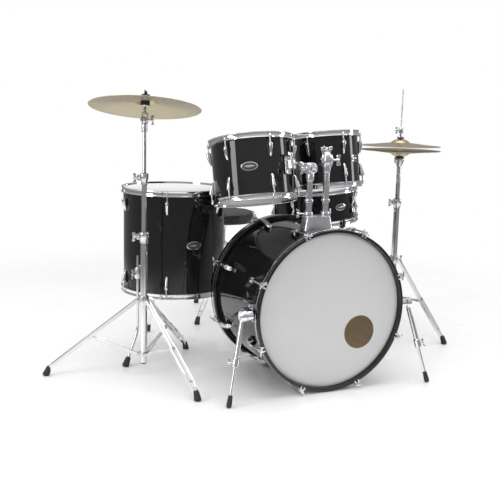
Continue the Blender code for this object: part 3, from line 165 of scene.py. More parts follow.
def two_tone(nodes, links, factor, first, second):
    mix = nodes.new("ShaderNodeMix")
    mix.data_type = 'RGBA'
    mix.inputs["A"].default_value = (*first, 1)
    mix.inputs["B"].default_value = (*second, 1)
    links.new(factor, mix.inputs["Factor"])
    return mix.outputs["Result"]


def relief(nodes, links, shader, height, strength, depth):
    bump = nodes.new("ShaderNodeBump")
    bump.inputs["Strength"].default_value = strength
    bump.inputs["Distance"].default_value = depth
    links.new(height, bump.inputs["Height"])
    links.new(bump.outputs["Normal"], shader.inputs["Normal"])


def finish(name, mottle, dark, light, gloss, bumps, metal=0.0):
    """Two mottled tones; gloss is (size, low, high) of its roughness, bumps (size, strength, depth)."""
    material, shader, nodes, links = shader_of(name)
    links.new(two_tone(nodes, links, uneven(nodes, mottle, 0, 1), dark, light), shader.inputs["Base Color"])
    shader.inputs["Metallic"].default_value = metal
    links.new(uneven(nodes, *gloss), shader.inputs["Roughness"])
    size, strength, depth = bumps
    relief(nodes, links, shader, uneven(nodes, size, 0, 1), strength, depth)
    return material


FLOOR_PAINT, shader, nodes, links = shader_of("pale studio floor")
links.new(two_tone(nodes, links, uneven(nodes, 0.8, 0, 1), (0.89, 0.89, 0.885), (0.92, 0.92, 0.915)),
          shader.inputs["Base Color"])
links.new(uneven(nodes, 3.0, 0.20, 0.30), shader.inputs["Roughness"])
shader.inputs["Specular IOR Level"].default_value = 0.6
place = nodes.new("ShaderNodeTexCoord")
from_kit = nodes.new("ShaderNodeVectorMath")
from_kit.operation = 'LENGTH'
fade = nodes.new("ShaderNodeMapRange")
fade.interpolation_type = 'SMOOTHSTEP'
fade.inputs["From Min"].default_value = 1.1
fade.inputs["From Max"].default_value = 2.6
fade.inputs["To Min"].default_value = 1.0
fade.inputs["To Max"].default_value = 0.0
links.new(place.outputs["Object"], from_kit.inputs[0])
links.new(from_kit.outputs["Value"], fade.inputs["Value"])
links.new(fade.outputs["Result"], shader.inputs["Alpha"])
floor_mesh = bpy.data.meshes.new("studio_floor")
floor_mesh.from_pydata([(-30, -30, 0), (30, -30, 0), (30, 30, 0), (-30, 30, 0)], [], [(0, 1, 2, 3)])
floor_mesh.materials.append(FLOOR_PAINT)
floor = bpy.data.objects.new("studio_floor", floor_mesh)
bpy.context.scene.collection.objects.link(floor)

# ---------------------------------------------------------------- bass drum shell
# A tube of thin plies, bare brown wood inside and wrapped outside in gloss black, with bearing edges
# that slope back from the inside. Lacquered surfaces show a faint orange peel and a film of dust.

GAP = 0.0003
BASS_RADIUS = 11 * INCH
BASS_DEPTH = 16 * INCH
BASS_WALL = 0.0075
HOOP_WIDTH = 0.038
HOOP_LIP = 0.0197
HOOP_INNER = BASS_RADIUS + 0.0028
HOOP_OUTER = HOOP_INNER + 0.0115
BASS_OVERALL = BASS_DEPTH + 2 * HOOP_LIP
BASS_AXIS_Z = HOOP_OUTER + 0.0035
BASS_TOP = BASS_AXIS_Z + BASS_RADIUS
# Local +Z runs to the rear of the drum.
BASS = KIT @ Matrix.Translation((0, BASS_OVERALL / 2, BASS_AXIS_Z)) @ Matrix.Rotation(-math.pi / 2, 4, 'X')
FLIP = Matrix.Rotation(math.pi, 4, 'X')

LACQUER, shader, nodes, links = shader_of("gloss black wrap")
links.new(two_tone(nodes, links, uneven(nodes, 14, 0, 1), (0.0045, 0.0045, 0.0050),
                   (0.0085, 0.0085, 0.0092)), shader.inputs["Base Color"])
links.new(uneven(nodes, 30, 0.03, 0.07), shader.inputs["Roughness"])
shader.inputs["Coat Weight"].default_value = 0.15
shader.inputs["Coat Roughness"].default_value = 0.03
relief(nodes, links, shader, uneven(nodes, 120, 0, 1), 0.008, 0.0004)

PLIES, shader, nodes, links = shader_of("bare brown plies")
place = nodes.new("ShaderNodeTexCoord")
stretch = nodes.new("ShaderNodeMapping")
stretch.inputs["Scale"].default_value = (60, 60, 3)
grain = nodes.new("ShaderNodeTexNoise")
grain.inputs["Scale"].default_value = 1.4
grain.inputs["Detail"].default_value = 6
links.new(place.outputs["Object"], stretch.inputs["Vector"])
links.new(stretch.outputs["Vector"], grain.inputs["Vector"])
links.new(two_tone(nodes, links, grain.outputs["Fac"], (0.34, 0.255, 0.155), (0.48, 0.375, 0.245)),
          shader.inputs["Base Color"])
links.new(uneven(nodes, 40, 0.5, 0.7), shader.inputs["Roughness"])
relief(nodes, links, shader, grain.outputs["Fac"], 0.15, 0.0004)


def lathe(profile, steps=64, ring=False):
    """Outline of (radius, height) points turned about +Z; ring closes the outline on itself."""
    vertices = []
    rows = []
    for radius, height in profile:
        if radius < 1e-9:
            rows.append([len(vertices)] * steps)
            vertices.append(Vector((0, 0, height)))
        else:
            rows.append(list(range(len(vertices), len(vertices) + steps)))
            for step in range(steps):
                angle = 2 * math.pi * step / steps
                vertices.append(Vector((radius * math.cos(angle), radius * math.sin(angle), height)))
    pairs = list(zip(rows, rows[1:] + rows[:1])) if ring else list(zip(rows, rows[1:]))
    faces = []
    for low, high in pairs:
        for step in range(steps):
            after = (step + 1) % steps
            corners = [low[step], low[after], high[after], high[step]]
            face = [corner for index, corner in enumerate(corners) if corner not in corners[:index]]
            if len(face) > 2:
                faces.append(face)
    return vertices, faces


def skin_over(rows, closed=False):
    """Quads between neighbouring rows of vertices; closed joins the last row to the first."""
    pairs = zip(rows, rows[1:] + rows[:1]) if closed else zip(rows, rows[1:])
    return [[low[step], low[(step + 1) % len(low)], high[(step + 1) % len(low)], high[step]]
            for low, high in pairs for step in range(len(low))]


def capped(rows):
    """The skin over rows, with both ends closed."""
    return skin_over(rows) + [list(rows[0]), list(rows[-1])]


def moved(shape, matrix):
    vertices, faces = shape
    return [matrix @ vertex for vertex in vertices], faces


def corner_points(before, corner, after, radius, cuts):
    """Points along a corner rounded to about the radius, but never past the middle of a side."""
    reach = min(radius, (before - corner).length * 0.45, (after - corner).length * 0.45)
    start = corner + (before - corner).normalized() * reach
    end = corner + (after - corner).normalized() * reach
    shares = [cut / cuts for cut in range(cuts + 1)]
    return [start * (1 - share) ** 2 + corner * 2 * share * (1 - share) + end * share ** 2
            for share in shares]


def rounded(points, radius, cuts=3):
    """An outline with its corners rounded off."""
    points = [Vector(point) for point in points]
    result = []
    for before, corner, after in zip(points[-1:] + points[:-1], points, points[1:] + points[:1]):
        result += [tuple(point) for point in corner_points(before, corner, after, radius, cuts)]
    return result


def washer(inner, outer, low, high, ease, cuts, steps):
    """A flat ring with rounded edges."""
    return lathe(rounded([(inner, low), (outer, low), (outer, high), (inner, high)], ease, cuts), steps, True)


def piece(name, body, parts, replaces=(), place=KIT, sharp=38):
    """One object from (material, shape) parts; it rides on a body and stands for CAD nodes."""
    bm = bmesh.new()
    materials = []
    for material, (vertices, faces) in parts:
        if material not in materials:
            materials.append(material)
        corners = [bm.verts.new(vertex) for vertex in vertices]
        for face in faces:
            made = bm.faces.new([corners[index] for index in face])
            made.material_index = materials.index(material)
    bmesh.ops.recalc_face_normals(bm, faces=bm.faces)
    mesh = bpy.data.meshes.new(name)
    bm.to_mesh(mesh)
    bm.free()
    for material in materials:
        mesh.materials.append(material)
    mesh.shade_smooth()
    mesh.set_sharp_from_angle(angle=math.radians(sharp))
    item = bpy.data.objects.new(name, mesh)
    bpy.context.scene.collection.objects.link(item)
    item.matrix_world = place
    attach(item, body)
    if replaces:
        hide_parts(*replaces)
    return item


def shell_parts(radius, depth, wall, steps):
    end = depth / 2
    slope = wall * 0.75
    skin = 0.0008
    outside = lathe([(radius - skin, slope - end), (radius, slope - end + skin),
                     (radius, end - slope - skin), (radius - skin, end - slope)], steps)
    inside = lathe([(radius - skin, end - slope), (radius - wall + 0.001, end),
                    (radius - wall, end - 0.001), (radius - wall, 0.001 - end),
                    (radius - wall + 0.001, -end), (radius - skin, slope - end)], steps)
    return [(LACQUER, outside), (PLIES, inside)]


# Light that reaches the inside of the drum through its thin heads.
glow = bpy.data.lights.new("light inside the drum", 'POINT')
glow.energy = 0.5
glow.shadow_soft_size = 0.06
glow_lamp = bpy.data.objects.new("light inside the drum", glow)
glow_lamp.matrix_world = BASS @ Matrix.Translation((0, 0, 0.05))
bpy.context.scene.collection.objects.link(glow_lamp)
piece("bass_drum_shell", "kit", shell_parts(BASS_RADIUS, BASS_DEPTH, BASS_WALL, 128),
      ["bass_shell"], BASS)

# ---------------------------------------------------------------- bass drum hoops
# Steam-bent wooden hoops painted gloss black, with a thin bright inlay set in the middle of the face,
# pulled towards the shell by the claws.

CHROME = finish("polished chrome", 45, (0.75, 0.76, 0.78), (0.83, 0.84, 0.857), (90, 0.04, 0.10),
                (260, 0.012, 0.0003), 1.0)

HOOP_STEPS = 128
face = BASS_OVERALL / 2
wood = rounded([(HOOP_INNER, face - HOOP_WIDTH), (HOOP_OUTER, face - HOOP_WIDTH), (HOOP_OUTER, face),
                (HOOP_INNER, face)], 0.003)
inlay_middle = face - HOOP_WIDTH * 0.52
inlay = rounded([(HOOP_OUTER - 0.001, inlay_middle - 0.0028), (HOOP_OUTER + 0.0003, inlay_middle - 0.0028),
                 (HOOP_OUTER + 0.0003, inlay_middle + 0.0028), (HOOP_OUTER - 0.001, inlay_middle + 0.0028)],
                0.0003, 1)
for name, turn in (("rear", Matrix()), ("front", FLIP)):
    piece("bass_hoop_" + name, "kit",
          [(LACQUER, lathe(wood, HOOP_STEPS, True)), (CHROME, lathe(inlay, HOOP_STEPS, True))],
          ["bass_%s_hoop" % name], BASS @ turn)

# ------------------------------------------------ claws, tension rods and lugs of the bass drum
# Chromed steel claws hook over the hoop on two fingers; a T-handled rod runs from each claw to a round
# die-cast lug bolted to the shell.

BASS_LUGS = [22.5 + 45 * index for index in range(8)]
ROD_REACH = BASS_RADIUS + 0.0245


def polar(radius, degrees, height=0.0):
    angle = math.radians(degrees)
    return Vector((radius * math.cos(angle), radius * math.sin(angle), height))


def turned_by(degrees):
    return Matrix.Rotation(math.radians(degrees), 4, 'Z')


def axes(x, y, z):
    """Matrix that turns +X, +Y and +Z to three directions."""
    return Matrix((x, y, z)).transposed().to_4x4()


def between(start, end):
    """Matrix whose +Z runs from start to end, with its origin at start."""
    start = Vector(start)
    along = Vector(end) - start
    return Matrix.Translation(start) @ UP.rotation_difference(along).to_matrix().to_4x4()


def rod(start, end, radius, steps=16, chamfer=0.0006, end_radius=None):
    """A round bar with eased ends."""
    long = (Vector(end) - Vector(start)).length
    last = end_radius or radius
    profile = [(0, 0), (radius - chamfer, 0), (radius, chamfer), (last, long - chamfer),
               (last - chamfer, long), (0, long)]
    return moved(lathe(profile, steps), between(start, end))


def block(size, middle=(0, 0, 0), matrix=Matrix(), ease=0.0015):
    """A block with rounded edges."""
    bm = bmesh.new()
    bmesh.ops.create_cube(bm, size=1, matrix=Matrix.Diagonal((*size, 1)))
    width = min(ease, min(size) * 0.45)
    bmesh.ops.bevel(bm, geom=list(bm.edges) + list(bm.verts), offset=width, segments=2, affect='EDGES',
                    profile=0.5)
    bm.verts.index_update()
    shape = [vertex.co.copy() for vertex in bm.verts], [[v.index for v in f.verts] for f in bm.faces]
    bm.free()
    return moved(shape, matrix @ Matrix.Translation(middle))


def loft(sections, steps=20, power=0.55):
    """Rounded sections (height, x half, y half, x shift) stacked along +Z."""
    vertices = []
    rows = []
    for height, half_x, half_y, shift in sections:
        rows.append(range(len(vertices), len(vertices) + steps))
        for step in range(steps):
            angle = 2 * math.pi * (step + 0.5) / steps
            x = math.copysign(abs(math.cos(angle)) ** power, math.cos(angle))
            y = math.copysign(abs(math.sin(angle)) ** power, math.sin(angle))
            vertices.append(Vector((x * half_x + shift, y * half_y, height)))
    return vertices, capped(rows)


def claw_parts(angle):
    turn = turned_by(angle)
    out = HOOP_OUTER + 0.0025
    parts = [block((0.003, 0.021, 0.030), (out, 0, face - 0.012), turn, 0.0012)]
    for hand in (-1, 1):
        parts.append(block((0.011, 0.0065, 0.0035), (out - 0.0045, hand * 0.0068, face + 0.0020), turn,
                           0.0012))
        parts.append(block((0.0032, 0.0065, 0.0075), (out - 0.0088, hand * 0.0068, face - 0.0010), turn,
                           0.0012))
    parts.append(moved(loft([(face - 0.010, 0.0065, 0.0075, 0), (face - 0.004, 0.0070, 0.0080, 0),
                             (face + 0.0035, 0.0060, 0.0065, 0)]),
                       turn @ Matrix.Translation((ROD_REACH - 0.002, 0, 0))))
    return parts


def t_handle_parts(angle):
    start = BASS_OVERALL / 2 - 0.080 - 0.008
    centre = polar(ROD_REACH, angle)
    side = polar(1, angle + 62)
    top = centre + UP * (face + 0.0095)
    return [rod(centre + UP * start, centre + UP * (face + 0.006), 0.0029),
            rod(centre + UP * (face + 0.0035), centre + UP * (face + 0.0115), 0.0048),
            rod(top - side * 0.017, top + side * 0.017, 0.0027, 12)]


def bass_lug_parts(angle):
    turn = turned_by(angle)
    top = face - 0.080
    body = [(top - 0.055, 0.0040, 0.0050, BASS_RADIUS + 0.0045),
            (top - 0.050, 0.0080, 0.0085, BASS_RADIUS + 0.0085),
            (top - 0.030, 0.0125, 0.0100, BASS_RADIUS + 0.0130),
            (top - 0.004, 0.0148, 0.0105, BASS_RADIUS + 0.0152),
            (top, 0.0135, 0.0090, BASS_RADIUS + 0.0150)]
    return [moved(loft(body, 24, 0.75), turn),
            rod(polar(ROD_REACH, angle, top - 0.004), polar(ROD_REACH, angle, top + 0.006), 0.0068, 20)]


for name, turn in (("rear", Matrix()), ("front", FLIP)):
    for kind, maker in (("claws", claw_parts), ("tension_rods", t_handle_parts), ("lugs", bass_lug_parts)):
        parts = [(CHROME, shape) for angle in BASS_LUGS for shape in maker(angle)]
        piece("bass_%s_%s" % (kind, name), "kit", parts, (), BASS @ turn)

# ---------------------------------------------------------------- bass drum heads
# Polyester film pressed over an aluminium ring. The front head is smooth white with a reinforced port
# for a microphone; the batter head at the rear is coated.

PORT_RADIUS = 0.064
PORT_AT = (0.122, -0.088)     # right of and below the drum's axis, seen from the front

FRONT_FILM = finish("smooth white film", 5, (0.565, 0.565, 0.562), (0.590, 0.590, 0.586), (20, 0.28, 0.38),
                    (300, 0.03, 0.0002))

COATED_FILM = finish("coated white film", 160, (0.62, 0.62, 0.605), (0.70, 0.70, 0.685), (60, 0.48, 0.62),
                     (900, 0.25, 0.0002))


def head_parts(film, radius, wall, end, skirt, steps):
    flat = radius - wall
    inner = radius + 0.0015
    low = end - skirt
    surface = lathe([(0, end + GAP), (flat * 0.5, end + GAP), (flat, end + GAP), (inner, end - wall * 0.55),
                     (inner, low), (inner + 0.0009, low), (inner + 0.0009, end - wall * 0.45),
                     (inner + 0.0003, end - wall * 0.22 + 0.0006), (flat + wall * 0.25, end + GAP + 0.0007),
                     (flat, end + GAP + 0.0009), (flat * 0.5, end + GAP + 0.0009), (0, end + GAP + 0.0009)],
                    steps)
    ring = washer(inner + 0.0010, radius + 0.0048, low, low + 0.005, 0.0008, 2, steps)
    return [(film, surface), (CHROME, ring)]


BASS_SKIRT = 0.009
piece("bass_batter_head_film", "kit",
      head_parts(COATED_FILM, BASS_RADIUS, BASS_WALL, BASS_DEPTH / 2, BASS_SKIRT, 128),
      ["bass_batter_head"], BASS)


def ported_film(radius, wall, end, skirt, port, port_radius, steps):
    """Front film with a round port: a fan of quads from the port's edge to the bearing edge."""
    flat = radius - wall
    vertices = []
    outline = [(flat, end + GAP + 0.0009), (flat + wall * 0.25, end + GAP + 0.0007),
               (radius + 0.0018, end - wall * 0.22 + 0.0006), (radius + 0.0024, end - wall * 0.45),
               (radius + 0.0024, end - skirt), (radius + 0.0015, end - skirt),
               (radius + 0.0015, end - wall * 0.55), (flat, end + GAP)]
    fan = 10
    turns = [360 * step / steps for step in range(steps)]

    def fan_row(share, height):
        for angle in turns:
            edge = Vector((*port, 0)) + polar(port_radius, angle)
            point = edge.lerp(polar(flat, angle), share ** 1.3)
            vertices.append(Vector((point.x, point.y, height)))

    for index in range(fan + 1):
        fan_row(index / fan, end + GAP + 0.0009)
    for out, height in outline[1:]:
        vertices.extend(polar(out, angle, height) for angle in turns)
    for index in range(fan):
        fan_row(1 - (index + 1) / fan, end + GAP)
    rows = [range(first, first + steps) for first in range(0, len(vertices), steps)]
    return vertices, skin_over(rows, True)


# Flipped to face the front, local +Y points up again.
film = ported_film(BASS_RADIUS, BASS_WALL, BASS_DEPTH / 2, BASS_SKIRT, PORT_AT, PORT_RADIUS, 128)
port_ring = lathe(rounded([(PORT_RADIUS - 0.0022, BASS_DEPTH / 2 + 0.0002),
                           (PORT_RADIUS + 0.0028, BASS_DEPTH / 2 + 0.0012),
                           (PORT_RADIUS + 0.0028, BASS_DEPTH / 2 + 0.0020),
                           (PORT_RADIUS - 0.0022, BASS_DEPTH / 2 + 0.0020)], 0.0003, 1), 96, True)
ring_of_head = head_parts(FRONT_FILM, BASS_RADIUS, BASS_WALL, BASS_DEPTH / 2, BASS_SKIRT, 128)[1]
piece("bass_front_head_film", "kit",
      [(FRONT_FILM, film), (FRONT_FILM, moved(port_ring, Matrix.Translation((*PORT_AT, 0)))), ring_of_head],
      ["bass_front_head"], BASS @ FLIP)

# ---------------------------------------------------------------- spurs of the bass drum
# Each spur is a chromed tube on a die-cast bracket at the front of the shell. The tube folds about the
# bracket's barrel; a thinner rod slides out of it and ends in a rubber tip held by a wing screw.

RUBBER = finish("black rubber", 60, (0.012, 0.012, 0.012), (0.028, 0.028, 0.027), (120, 0.55, 0.8),
                (500, 0.25, 0.0004))

SPUR_PIVOT = Vector((HOOP_OUTER + 0.0403, 0.033, BASS_AXIS_Z + 0.0028))
SPUR_FOOT = Vector((HOOP_OUTER + 0.1103, -0.026, 0))


def wing_nut(at, along, across, size=1.0, material=CHROME):
    """A die-cast wing: a boss on the screw with two flat ears."""
    along = Vector(along).normalized()
    across = Vector(across).normalized()
    matrix = Matrix.Translation(at) @ axes(across, along.cross(across), along)
    shapes = [moved(lathe([(0, -0.005 * size), (0.0055 * size, -0.005 * size),
                           (0.0060 * size, 0.001 * size), (0.0048 * size, 0.0065 * size),
                           (0, 0.0070 * size)], 20), matrix)]
    for hand in (-1, 1):
        ear = [(0.0035 * size, 0.0030 * size, 0.0026 * size, 0),
               (0.009 * size, 0.0055 * size, 0.0022 * size, 0.0020 * size),
               (0.0145 * size, 0.0068 * size, 0.0019 * size, 0.0030 * size),
               (0.0175 * size, 0.0045 * size, 0.0015 * size, 0.0035 * size)]
        outward = Matrix(((0, 0, hand, 0), (0, 1, 0, 0), (1, 0, 0, 0), (0, 0, 0, 1)))
        shapes.append(moved(loft(ear, 16, 0.8), matrix @ outward))
    return [(material, shape) for shape in shapes]


def sweep(points, radius, steps=14):
    """A round bar along points; it keeps its own twist."""
    points = [Vector(point) for point in points]
    vertices = []
    rows = []
    along = (points[1] - points[0]).normalized()
    side = along.orthogonal().normalized()
    for index, point in enumerate(points):
        before = (point - points[max(index - 1, 0)])
        after = (points[min(index + 1, len(points) - 1)] - point)
        tangent = (before.normalized() if before.length else after.normalized())
        ahead = (after.normalized() if after.length else tangent)
        normal = (tangent + ahead).normalized()
        side = (side - normal * side.dot(normal)).normalized()
        other = normal.cross(side)
        stretch_by = 1 / max(tangent.dot(normal), 0.5)
        rows.append(range(len(vertices), len(vertices) + steps))
        for step in range(steps):
            angle = 2 * math.pi * step / steps
            vertices.append(point
                            + (side * math.cos(angle) * stretch_by + other * math.sin(angle)) * radius)
    return vertices, capped(rows)


def bent(points, bend, cuts=5):
    """Corners of an open path rounded to about the bend radius."""
    points = [Vector(point) for point in points]
    result = [points[0]]
    for before, corner, after in zip(points, points[1:], points[2:]):
        result += corner_points(before, corner, after, bend, cuts)
    return result + [points[-1]]


for side, name in ((-1, "left"), (1, "right")):
    pivot = Vector((side * SPUR_PIVOT.x, SPUR_PIVOT.y, SPUR_PIVOT.z))
    foot = Vector((side * SPUR_FOOT.x, SPUR_FOOT.y, 0))
    along = (foot - pivot).normalized()
    out = Vector((side, 0, 0))
    plate_y = HOOP_WIDTH + 0.014 + 0.023
    shell_side = math.sqrt(BASS_RADIUS ** 2 - (SPUR_PIVOT.z - BASS_AXIS_Z) ** 2)
    bracket = [(CHROME,
                block((0.010, 0.044, 0.062), (side * (shell_side + 0.003), plate_y, pivot.z), ease=0.004)),
               (CHROME,
                block((0.040, 0.030, 0.034), (side * (shell_side + 0.020), plate_y, pivot.z), ease=0.006)),
               (CHROME,
                block((0.018, 0.060, 0.034), (side * (HOOP_OUTER + 0.016), plate_y - 0.018, pivot.z),
                      ease=0.006)),
               (CHROME, rod(pivot - out * 0.034, pivot - out * 0.0104, 0.0185, 32, 0.002))]
    bracket += [(CHROME,
                 rod((side * (shell_side + 0.004), plate_y, pivot.z + hand * 0.023),
                     (side * (shell_side + 0.0105), plate_y, pivot.z + hand * 0.023), 0.0045, 6))
                for hand in (-1, 1)]
    piece("spur_bracket_" + name, "kit", bracket)
    length = (foot - pivot).length
    tube_end = pivot + along * length * 0.558
    clamp_start = tube_end - along * 0.032
    tube = [(CHROME, rod(pivot - out * 0.010, pivot + out * 0.010, 0.0205, 36, 0.0025)),
            (CHROME, rod(pivot + out * 0.010, pivot + out * 0.0135, 0.0085, 6)),
            (CHROME, rod(pivot + along * 0.012, tube_end, 0.0090, 24)),
            (CHROME, rod(clamp_start, tube_end, 0.0125, 24, 0.002)),
            (CHROME, rod(tube_end - along * 0.016, tube_end - along * 0.016 + out * 0.024, 0.0032, 12))]
    tube += wing_nut(tube_end - along * 0.016 + out * 0.024, out, along, 0.9)
    piece("spur_tube_%s_chrome" % name, "spur_tube_" + name, tube, ["spur_tube_" + name])
    tip = lathe([(0, 0.0005), (0.0070, 0.0005), (0.0092, 0.004), (0.0096, 0.012), (0.0082, 0.030),
                 (0.0075, 0.040), (0.0060, 0.042), (0, 0.042)], 28)
    rod_parts = [(CHROME, rod(tube_end - along * 0.05, foot - along * 0.012, 0.0055, 20)),
                 (RUBBER, moved(tip, between(foot + UP * 0.0015, pivot)))]
    piece("spur_rod_%s_chrome" % name, "spur_rod_" + name, rod_parts, ["spur_rod_" + name])

# ---------------------------------------------------------------- drums: shells, badges and vents
# The rack toms, floor tom and snare drum are made as the bass drum is: ply tubes in a black wrap, with a
# vent grommet through the middle of a small oval badge of polished metal on a dark field.

SHELL_WALL = 0.0065
LARGE_TOM_RADIUS = 6 * INCH
SMALL_TOM_RADIUS = 5 * INCH
FLOOR_TOM_RADIUS = 8 * INCH
SNARE_RADIUS = 7 * INCH
MOUNT_Y = BASS_OVERALL - 0.2958


def leaning(at, back, side):
    lean = Matrix.Rotation(math.radians(-back), 4, 'X') @ Matrix.Rotation(math.radians(side), 4, 'Y')
    return KIT @ Matrix.Translation(at) @ lean


LARGE_TOM_AT = Vector((-LARGE_TOM_RADIUS - 0.0026, MOUNT_Y + LARGE_TOM_RADIUS + 0.0816,
                       BASS_TOP + 4.5 * INCH + 0.0761))
SMALL_TOM_AT = Vector((SMALL_TOM_RADIUS + 0.053, MOUNT_Y + SMALL_TOM_RADIUS + 0.143,
                       BASS_TOP + 4 * INCH + 0.1228))
# The gaps are between two shells, seen from above.
FLOOR_TOM_GAP = 0.0168
FLOOR_TOM_BEARING = 123.8
FLOOR_TOM_RIM_TOP = 0.6814
SNARE_GAP = 0.0191
SNARE_BEARING = 68.8
SNARE_MIDDLE = 0.594
FLOOR_TOM_AT = Vector((LARGE_TOM_AT.x, LARGE_TOM_AT.y, FLOOR_TOM_RIM_TOP - 0.0085 - 8 * INCH)) + polar(
    LARGE_TOM_RADIUS + FLOOR_TOM_RADIUS + FLOOR_TOM_GAP, FLOOR_TOM_BEARING)
SNARE_AT = Vector((SMALL_TOM_AT.x, SMALL_TOM_AT.y, SNARE_MIDDLE)) + polar(
    SMALL_TOM_RADIUS + SNARE_RADIUS + SNARE_GAP, SNARE_BEARING)

# name: place, radius, depth, direction of the badge, lugs to each rim, body
DRUMS = {
    "large_tom": (leaning(LARGE_TOM_AT, 12.7, -1.1), LARGE_TOM_RADIUS, 9 * INCH, -118.4, 6,
                  "large_tom_arm"),
    "small_tom": (leaning(SMALL_TOM_AT, 8.0, -2.3), SMALL_TOM_RADIUS, 8 * INCH, -58.5, 6, "small_tom_arm"),
    "floor_tom": (leaning(FLOOR_TOM_AT, 0, 0), FLOOR_TOM_RADIUS, 16 * INCH, -86.0, 6, "kit"),
    "snare": (leaning(SNARE_AT, 0, -5.0), SNARE_RADIUS, 5.5 * INCH, -79.7, 8, "snare_basket"),
}

BADGE_FIELD, shader, nodes, links = shader_of("dark badge field")
links.new(two_tone(nodes, links, uneven(nodes, 200, 0, 1), (0.03, 0.03, 0.032), (0.055, 0.055, 0.06)),
          shader.inputs["Base Color"])
links.new(uneven(nodes, 150, 0.2, 0.35), shader.inputs["Roughness"])


def oval_on_shell(radius, turn, height, half_wide, half_high, low, high, steps=40):
    """A thin oval plate that lies on the round side of a shell."""
    vertices = [polar(radius + high, turn, height), polar(radius + low, turn, height)]
    for lift, share in ((high, 0.5), (high, 0.92), (high * 0.7 + low * 0.3, 1.0), (low, 1.0)):
        for step in range(steps):
            angle = 2 * math.pi * step / steps
            across = math.degrees(half_wide * share * math.cos(angle) / radius)
            vertices.append(polar(radius + lift, turn + across,
                                  height + half_high * share * math.sin(angle)))
    faces = []
    for step in range(steps):
        after = (step + 1) % steps
        faces.append([0, 2 + step, 2 + after])
        for row in range(3):
            low_row = 2 + row * steps
            faces.append([low_row + step, low_row + steps + step, low_row + steps + after, low_row + after])
        last = 2 + 3 * steps
        faces.append([1, last + after, last + step])
    return vertices, faces


for name, (place, radius, depth, turn, lugs, body) in DRUMS.items():
    piece(name + "_drum_shell", body, shell_parts(radius, depth, SHELL_WALL, 96),
          [name + "_shell"], place)
    size = 0.031 if name in ("large_tom", "floor_tom") else 0.027
    badge = [(CHROME, oval_on_shell(radius, turn, 0, size, size * 0.52, -0.0002, 0.0010)),
             (BADGE_FIELD, oval_on_shell(radius, turn, 0, size * 0.86, size * 0.42, 0.0009, 0.0013)),
             (CHROME, oval_on_shell(radius, turn, 0, size * 0.62, size * 0.13, 0.0012, 0.0018)),
             (CHROME,
              moved(washer(0.0030, 0.0052, 0.0010, 0.0028, 0.0008, 2, 24),
                    turned_by(turn) @ Matrix.Translation((radius, 0, 0))
                    @ Matrix.Rotation(math.pi / 2, 4, 'Y')))]
    piece(name + "_badge", body, badge, (), place)

# ---------------------------------------------------------------- drums: rims, tension rods and lugs
# Triple-flanged steel rims, chromed: the top edge is rolled outwards, and the bottom flange has an ear
# for each square-headed tension rod. The rods screw into slim tapered lugs bolted to the shell.


def rim_shape(radius, end, ears, step_count):
    """Rolled rim whose bottom flange swells out at each tension rod."""
    low = end - 0.016
    high = end + 0.0085
    inside = radius + 0.0050
    outline = [(inside, low + 0.0050), (inside, high - 0.0030), (inside + 0.0006, high - 0.0008),
               (inside + 0.0022, high), (inside + 0.0044, high - 0.0002), (inside + 0.0046, high - 0.0016),
               (inside + 0.0028, high - 0.0020), (inside + 0.0018, high - 0.0040),
               (inside + 0.0018, low + 0.0075), (inside + 0.0026, low + 0.0058),
               (inside + 0.0058, low + 0.0050), (inside + 0.0062, low + 0.0030),
               (inside + 0.0048, low + 0.0026), (inside + 0.0020, low + 0.0034)]
    flange_points = (10, 11)
    vertices = []
    rows = []
    for index, (out, height) in enumerate(outline):
        rows.append(range(len(vertices), len(vertices) + step_count))
        for step in range(step_count):
            angle = 360 * step / step_count
            near = min(abs((angle - ear + 180) % 360 - 180) for ear in ears) * math.pi / 180 * radius
            ear_out = 0.0046 * max(0.0, 1 - (near / 0.013) ** 2) ** 0.6 if index in flange_points else 0
            vertices.append(polar(out + ear_out, angle, height))
    return vertices, skin_over(rows, True)


def tension_rod(radius, end, angle, lug_top):
    flange = end - 0.0105
    at = polar(radius + 0.0112, angle)
    return [rod(at + UP * (lug_top - 0.010), at + UP * flange, 0.0026, 14),
            rod(at + UP * flange, at + UP * (flange + 0.0012), 0.0060, 24, 0.0004),
            rod(at + UP * (flange + 0.0012), at + UP * (flange + 0.0040), 0.0044, 20, 0.0005),
            block((0.0052, 0.0052, 0.0070), (0, 0, 0),
                  Matrix.Translation(at + UP * (flange + 0.0072)) @ turned_by(angle + 20), 0.0006)]


def slim_lug(radius, angle, top, length):
    sections = [(top - length, 0.0022, 0.0022, radius + 0.0022),
                (top - length + 0.003, 0.0042, 0.0040, radius + 0.0042),
                (top - length * 0.55, 0.0078, 0.0058, radius + 0.0076),
                (top - length * 0.22, 0.0100, 0.0070, radius + 0.0098),
                (top - 0.005, 0.0102, 0.0076, radius + 0.0100),
                (top - 0.001, 0.0092, 0.0068, radius + 0.0098), (top, 0.0070, 0.0050, radius + 0.0096)]
    return [moved(loft(sections, 24, 0.72), turned_by(angle)),
            rod(polar(radius + 0.0112, angle, top - 0.002), polar(radius + 0.0112, angle, top + 0.0030),
                0.0046, 18)]


